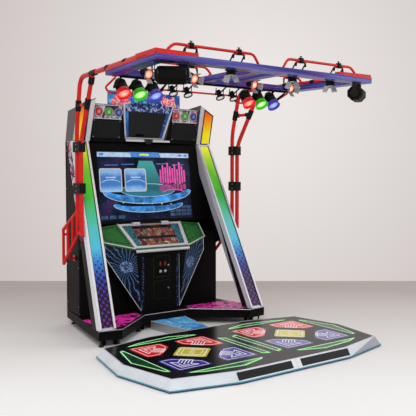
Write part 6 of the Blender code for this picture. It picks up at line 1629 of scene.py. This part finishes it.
# four pin spots on the back beam
pins = {"x": (0.190, 0.355), "y": -0.035, "z": 2.385, "aim": (0, -0.447, -0.894), "ring": 0.044,
        "lens": 0.0330,
        "front": 0.046, "armX": 0.046, "armTop": (-0.050, 2.440)}
pinRings, pinLenses, pinArms = bmesh.new(), bmesh.new(), bmesh.new()
aim = Vector(pins["aim"]).normalized()
for x in pins["x"]:
    for side in (-1, 1):
        middle = Vector((side * x, pins["y"], pins["z"]))
        place = planeAt(middle + aim * pins["front"], (1, 0, 0), aim.cross(Vector((1, 0, 0))))
        addTurned(pinRings, [(0.036, -0.014), (0.040, -0.014), (pins["ring"], -0.004),
                             (pins["ring"], 0.004),
                             (0.039, 0.006), (0.034, 0.002), (0.034, -0.010), (0.036, -0.014)], place, 28)
        addTurned(pinLenses, [(0, 0.003), (0.012, 0.0022), (0.020, 0.0006), (pins["lens"] + 0.003, -0.004),
                              (0, -0.006)], place, 24)
        for end in (-1, 1):
            start = middle + Vector((end * pins["armX"], 0, 0)) + aim * 0.006
            addRod(pinArms, start, (start.x, *pins["armTop"]), 0.0042, 8)
            inner, outer = (start + Vector((end * away, 0, 0)) for away in (-0.012, 0.008))
            addRod(pinArms, inner, outer, 0.009, 12, 0.001)
newPiece("pin_rings", pinRings, "clampBlack", smooth=True)
newPiece("pin_lenses", pinLenses, "pinGlass", smooth=True)
newPiece("pin_arms", pinArms, "clampBlack", smooth=True)

# the turning lamps at the front corners: bands, ends, panes and hubs along their own axis
corner = {"x": 1.020, "y": -1.050, "z": 2.345, "turn": 32, "bands": (-0.105, -0.070, 0.070, 0.105),
          "bandHalf": 0.005, "end": (0.118, 0.1275), "hub": (0.1275, 0.1300), "panes": 12}
for side, name in ((-1, "left"), (1, "right")):
    body = f"corner_lamp_{name}"
    low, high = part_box(body)
    size = (high.z - low.z) / 2
    place = (Matrix.Translation((side * corner["x"], corner["y"], corner["z"])) @
             Matrix.Rotation(math.radians(side * corner["turn"]), 4, "Z") @
             Matrix.Rotation(math.radians(90), 4, "Y"))

    def addDisc(shape, start, stop, radius, steps=12, bevel=0.0):
        addRod(shape, place @ Vector((0, 0, start)), place @ Vector((0, 0, stop)), radius, steps, bevel)

    barrel = bmesh.new()
    for across in corner["bands"]:
        addDisc(barrel, across - corner["bandHalf"], across + corner["bandHalf"], size * 1.02, bevel=0.001)
    for end in (-1, 1):
        addDisc(barrel, *(end * across for across in corner["end"]), size * 0.62, bevel=0.002)
    newPiece(f"corner_lamp_bands_{name}", barrel, "clampBlack", body)
    panes = bmesh.new()
    lengthways = place.to_3x3() @ Vector((0, 0, 1))
    for number in range(corner["panes"]):
        angle = math.tau * (number + 0.5) / corner["panes"]
        normal = Vector((math.cos(angle), math.sin(angle), 0))
        around = (place.to_3x3() @ normal).cross(lengthways)
        addPlate(panes, roundedOutline(0.112, size * 0.40, 0.006), 0.0032,
                 planeAt(place @ (normal * size * 0.955), lengthways, around))
    newPiece(f"corner_lamp_panes_{name}", panes, "powderBlack", body)
    hubs = bmesh.new()
    for end in (-1, 1):
        addDisc(hubs, *(end * across for across in corner["hub"]), size * 0.24, 16)
    newPiece(f"corner_lamp_hubs_{name}", hubs, "boltSteel", body)
print("roof ready")

# plinth and cabinet outside: decals, edges, feet, duct, rear door, side trims

plinth = {"top": 0.1565, "front": [(0.280, 0.605), (0.773, 0.186), (1.000, 0.220)], "edge": 0.004,
          "decal": [(0.300, 0.640), (0.560, 0.410), (0.700, 0.290), (0.945, 0.300), (0.905, 0.760),
                    (0.300, 0.760)],
          "feet": ((0.790, 0.230), (0.955, 0.262), (0.360, 0.600), (0.740, 1.320), (0.360, 1.320))}
for side, name in ((-1, "left"), (1, "right")):
    decal = bmesh.new()
    addPlate(decal, mirrored(plinth["decal"], side), 0.0009,
             Matrix.Translation((0, 0, plinth["top"] - 0.0002)))
    newPiece(f"plinth_decal_{name}", decal, "flamePrintPaintedGlow")
skirt = bmesh.new()
outline = [(-x, y) for x, y in reversed(plinth["front"])] + plinth["front"]
addRods(skirt, [(x, y, plinth["top"]) for x, y in outline], plinth["edge"])
newPiece("plinth_edge", skirt, "greyMetal", smooth=True)
footStages = ((0.0, 0.014, 0.026, 18, 0.004), (0.014, 0.068, 0.009, 12, 0.0),
              (0.052, 0.062, 0.016, 6, 0.001))
feet = bmesh.new()   # each a pad, a stem and a lock nut
for x, y in [(side * x, y) for side in (-1, 1) for x, y in plinth["feet"]]:
    for low, high, radius, steps, bevel in footStages:
        addRod(feet, (x, y, low), (x, y, high), radius, steps, bevel)
newPiece("levelling_feet", feet, "rubber")

repaint("cable_duct", "greyMetal", lambda centre, normal: abs(normal.z) < 0.35)
ductEdge = bmesh.new()
for side in (-1, 1):
    addRod(ductEdge, (side * 0.120, 0.062, 0.086), (side * 0.208, 0.600, 0.086), 0.004, 8)
newPiece("duct_edges", ductEdge, "satinSilver", smooth=True)
ductScrews = bmesh.new()
for side in (-1, 1):
    for y, x in ((0.110, 0.112), (0.340, 0.150), (0.570, 0.186)):
        addRod(ductScrews, (side * x, y, 0.0845), (side * x, y, 0.0885), 0.006, 12, 0.001)
newPiece("duct_screws", ductScrews, "boltSteel", smooth=True)

# body side trims, screws and vents; the rear door's furniture rides the door
back = {"y": 1.3762, "handleX": 0.270, "handleZ": 0.800, "lockZ": 0.915,
        "fold": ((-0.312, 0.357), (0.312, 1.223)),
        "plateX": -0.430, "inletZ": 0.330, "screwX": (-0.740, -0.380, 0.380, 0.740),
        "screwZ": (0.210, 0.620, 1.030, 1.440, 1.850)}


def onBack(shape, x, z, size, radius, thickness, bevel=0.0):
    # a rounded plate on the back
    addPlate(shape, roundedOutline(*size, radius), thickness, facing(x, back["y"], z, 1), bevel)


vents = bmesh.new()
for z in [z + 0.018 * row for row in range(9) for z in (1.045, 0.445)]:
    onBack(vents, 0, z, (0.300, 0.008), 0.0038, 0.0016)
newPiece("door_vents", vents, "blackSlat", "rear_door")
handle = bmesh.new()
handleX, handleZ, gripY = back["handleX"], back["handleZ"], back["y"] + 0.008
onBack(handle, handleX, handleZ, (0.060, 0.150), 0.010, 0.003, 0.001)
addRod(handle, (handleX, gripY, handleZ - 0.055), (handleX, gripY, handleZ + 0.055), 0.005, 12, 0.001)
for z in (handleZ - 0.052, handleZ + 0.052):
    addRod(handle, (handleX, back["y"], z), (handleX, back["y"] + 0.009, z), 0.005, 10)
newPiece("door_handle", handle, "powderBlack", "rear_door")
barrel = bmesh.new()
addTurned(barrel, [(0, 0.006), (0.008, 0.006), (0.011, 0.004), (0.012, 0), (0, 0)],
          facing(handleX, back["y"], back["lockZ"], 1), 24)
newPiece("door_lock", barrel, "boltSteel", "rear_door", smooth=True)
slit = bmesh.new()
addBox(slit, (handleX - 0.001, back["y"] + 0.0058, back["lockZ"] - 0.006),
       (handleX + 0.001, back["y"] + 0.0064, back["lockZ"] + 0.006))
newPiece("door_lock_keyway", slit, "blackSlat", "rear_door")
fold = bmesh.new()
addBorder(fold, *back["fold"], 0.004, (back["y"] - 0.0006, back["y"] + 0.0016))
newPiece("door_fold", fold, "powderBlack", "rear_door")
rating = bmesh.new()
onBack(rating, back["plateX"], back["inletZ"] + 0.130, (0.120, 0.080), 0.004, 0.0012)
newPiece("rating_plate", rating, "greyMetal")
inlet = bmesh.new()
onBack(inlet, back["plateX"], back["inletZ"], (0.072, 0.054), 0.004, 0.004, 0.001)
onBack(inlet, back["plateX"] - 0.090, back["inletZ"], (0.030, 0.040), 0.003, 0.006, 0.001)
newPiece("mains_inlet", inlet, "powderBlack")
backScrews = bmesh.new()
for x in back["screwX"]:
    for z in back["screwZ"]:
        addRod(backScrews, (x, back["y"] - 0.001, z), (x, back["y"] + 0.0030, z), 0.0075, 12, 0.001)
newPiece("back_screws", backScrews, "boltSteel", smooth=True)
topVents = bmesh.new()
for row in range(8):
    for x in (-0.300, 0.300):
        onBack(topVents, x, 1.560 + 0.022 * row, (0.260, 0.009), 0.0042, 0.0016)
newPiece("back_vents", topVents, "blackSlat")


# the side walls lean in towards the back; the front rows end where the pillar begins
wall = {"x": 0.8252, "y": 1.143, "z": 1.050, "lean": 0.1502, "trim": 0.215, "trimLow": -0.865,
        "trimHigh": {"front": 0.180, "rear": 0.865}, "screw": 0.195,
        "screws": {"front": (-0.800, -0.400, 0.0), "rear": (-0.800, -0.400, 0.0, 0.400, 0.800)}}
for side, name in ((-1, "left"), (1, "right")):
    place = planeAt((side * wall["x"], wall["y"], wall["z"]),
                    Vector((-wall["lean"], side, 0)), (0, 0, 1))
    trims, sideScrews = bmesh.new(), bmesh.new()
    for row, turn in (("front", -side), ("rear", side)):
        across = wall["trim"] * turn
        addBox(trims, (across - 0.004, wall["trimLow"], 0.0), (across + 0.004, wall["trimHigh"][row],
                                                               0.0030),
               place=place)
        for up in wall["screws"][row]:
            start, stop = (place @ Vector((wall["screw"] * turn, up, out)) for out in (-0.001, 0.003))
            addRod(sideScrews, start, stop, 0.007, 12, 0.001)
    newPiece(f"side_trims_{name}", trims, "powderBlack")
    newPiece(f"side_screws_{name}", sideScrews, "boltSteel", smooth=True)
print("base and back ready")

# inside the doors

low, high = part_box("game_computer")
middle = (low + high) / 2
ports = bmesh.new()
for number in range(4):
    x = low.x + (high.x - low.x) * (0.2 + 0.18 * number)
    addBox(ports, (x, high.y - 0.0004, low.z + 0.030), (x + 0.018, high.y + 0.0012, low.z + 0.044))
newPiece("computer_ports", ports, "satinSilver")
fan = bmesh.new()
addTurned(fan, [(0.012, 0.0), (0.040, 0.0), (0.040, 0.002), (0.012, 0.002), (0.012, 0.0)],
          facing(middle.x, high.y, middle.z + 0.02, 1), 24)
newPiece("computer_fan", fan, "blackSlat")
low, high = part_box("cash_box")
middle = (low + high) / 2
slotTop = bmesh.new()
addBox(slotTop, (middle.x - 0.050, middle.y - 0.008, high.z - 0.0004),
       (middle.x + 0.050, middle.y + 0.008, high.z + 0.0010))
newPiece("cash_box_slot", slotTop, "blackSlat")
pull = bmesh.new()
addBox(pull, (middle.x - 0.040, low.y - 0.006, high.z - 0.030),
       (middle.x + 0.040, low.y + 0.0004, high.z - 0.018), 0.002)
newPiece("cash_box_grip", pull, "boltSteel")
print("inner parts ready")
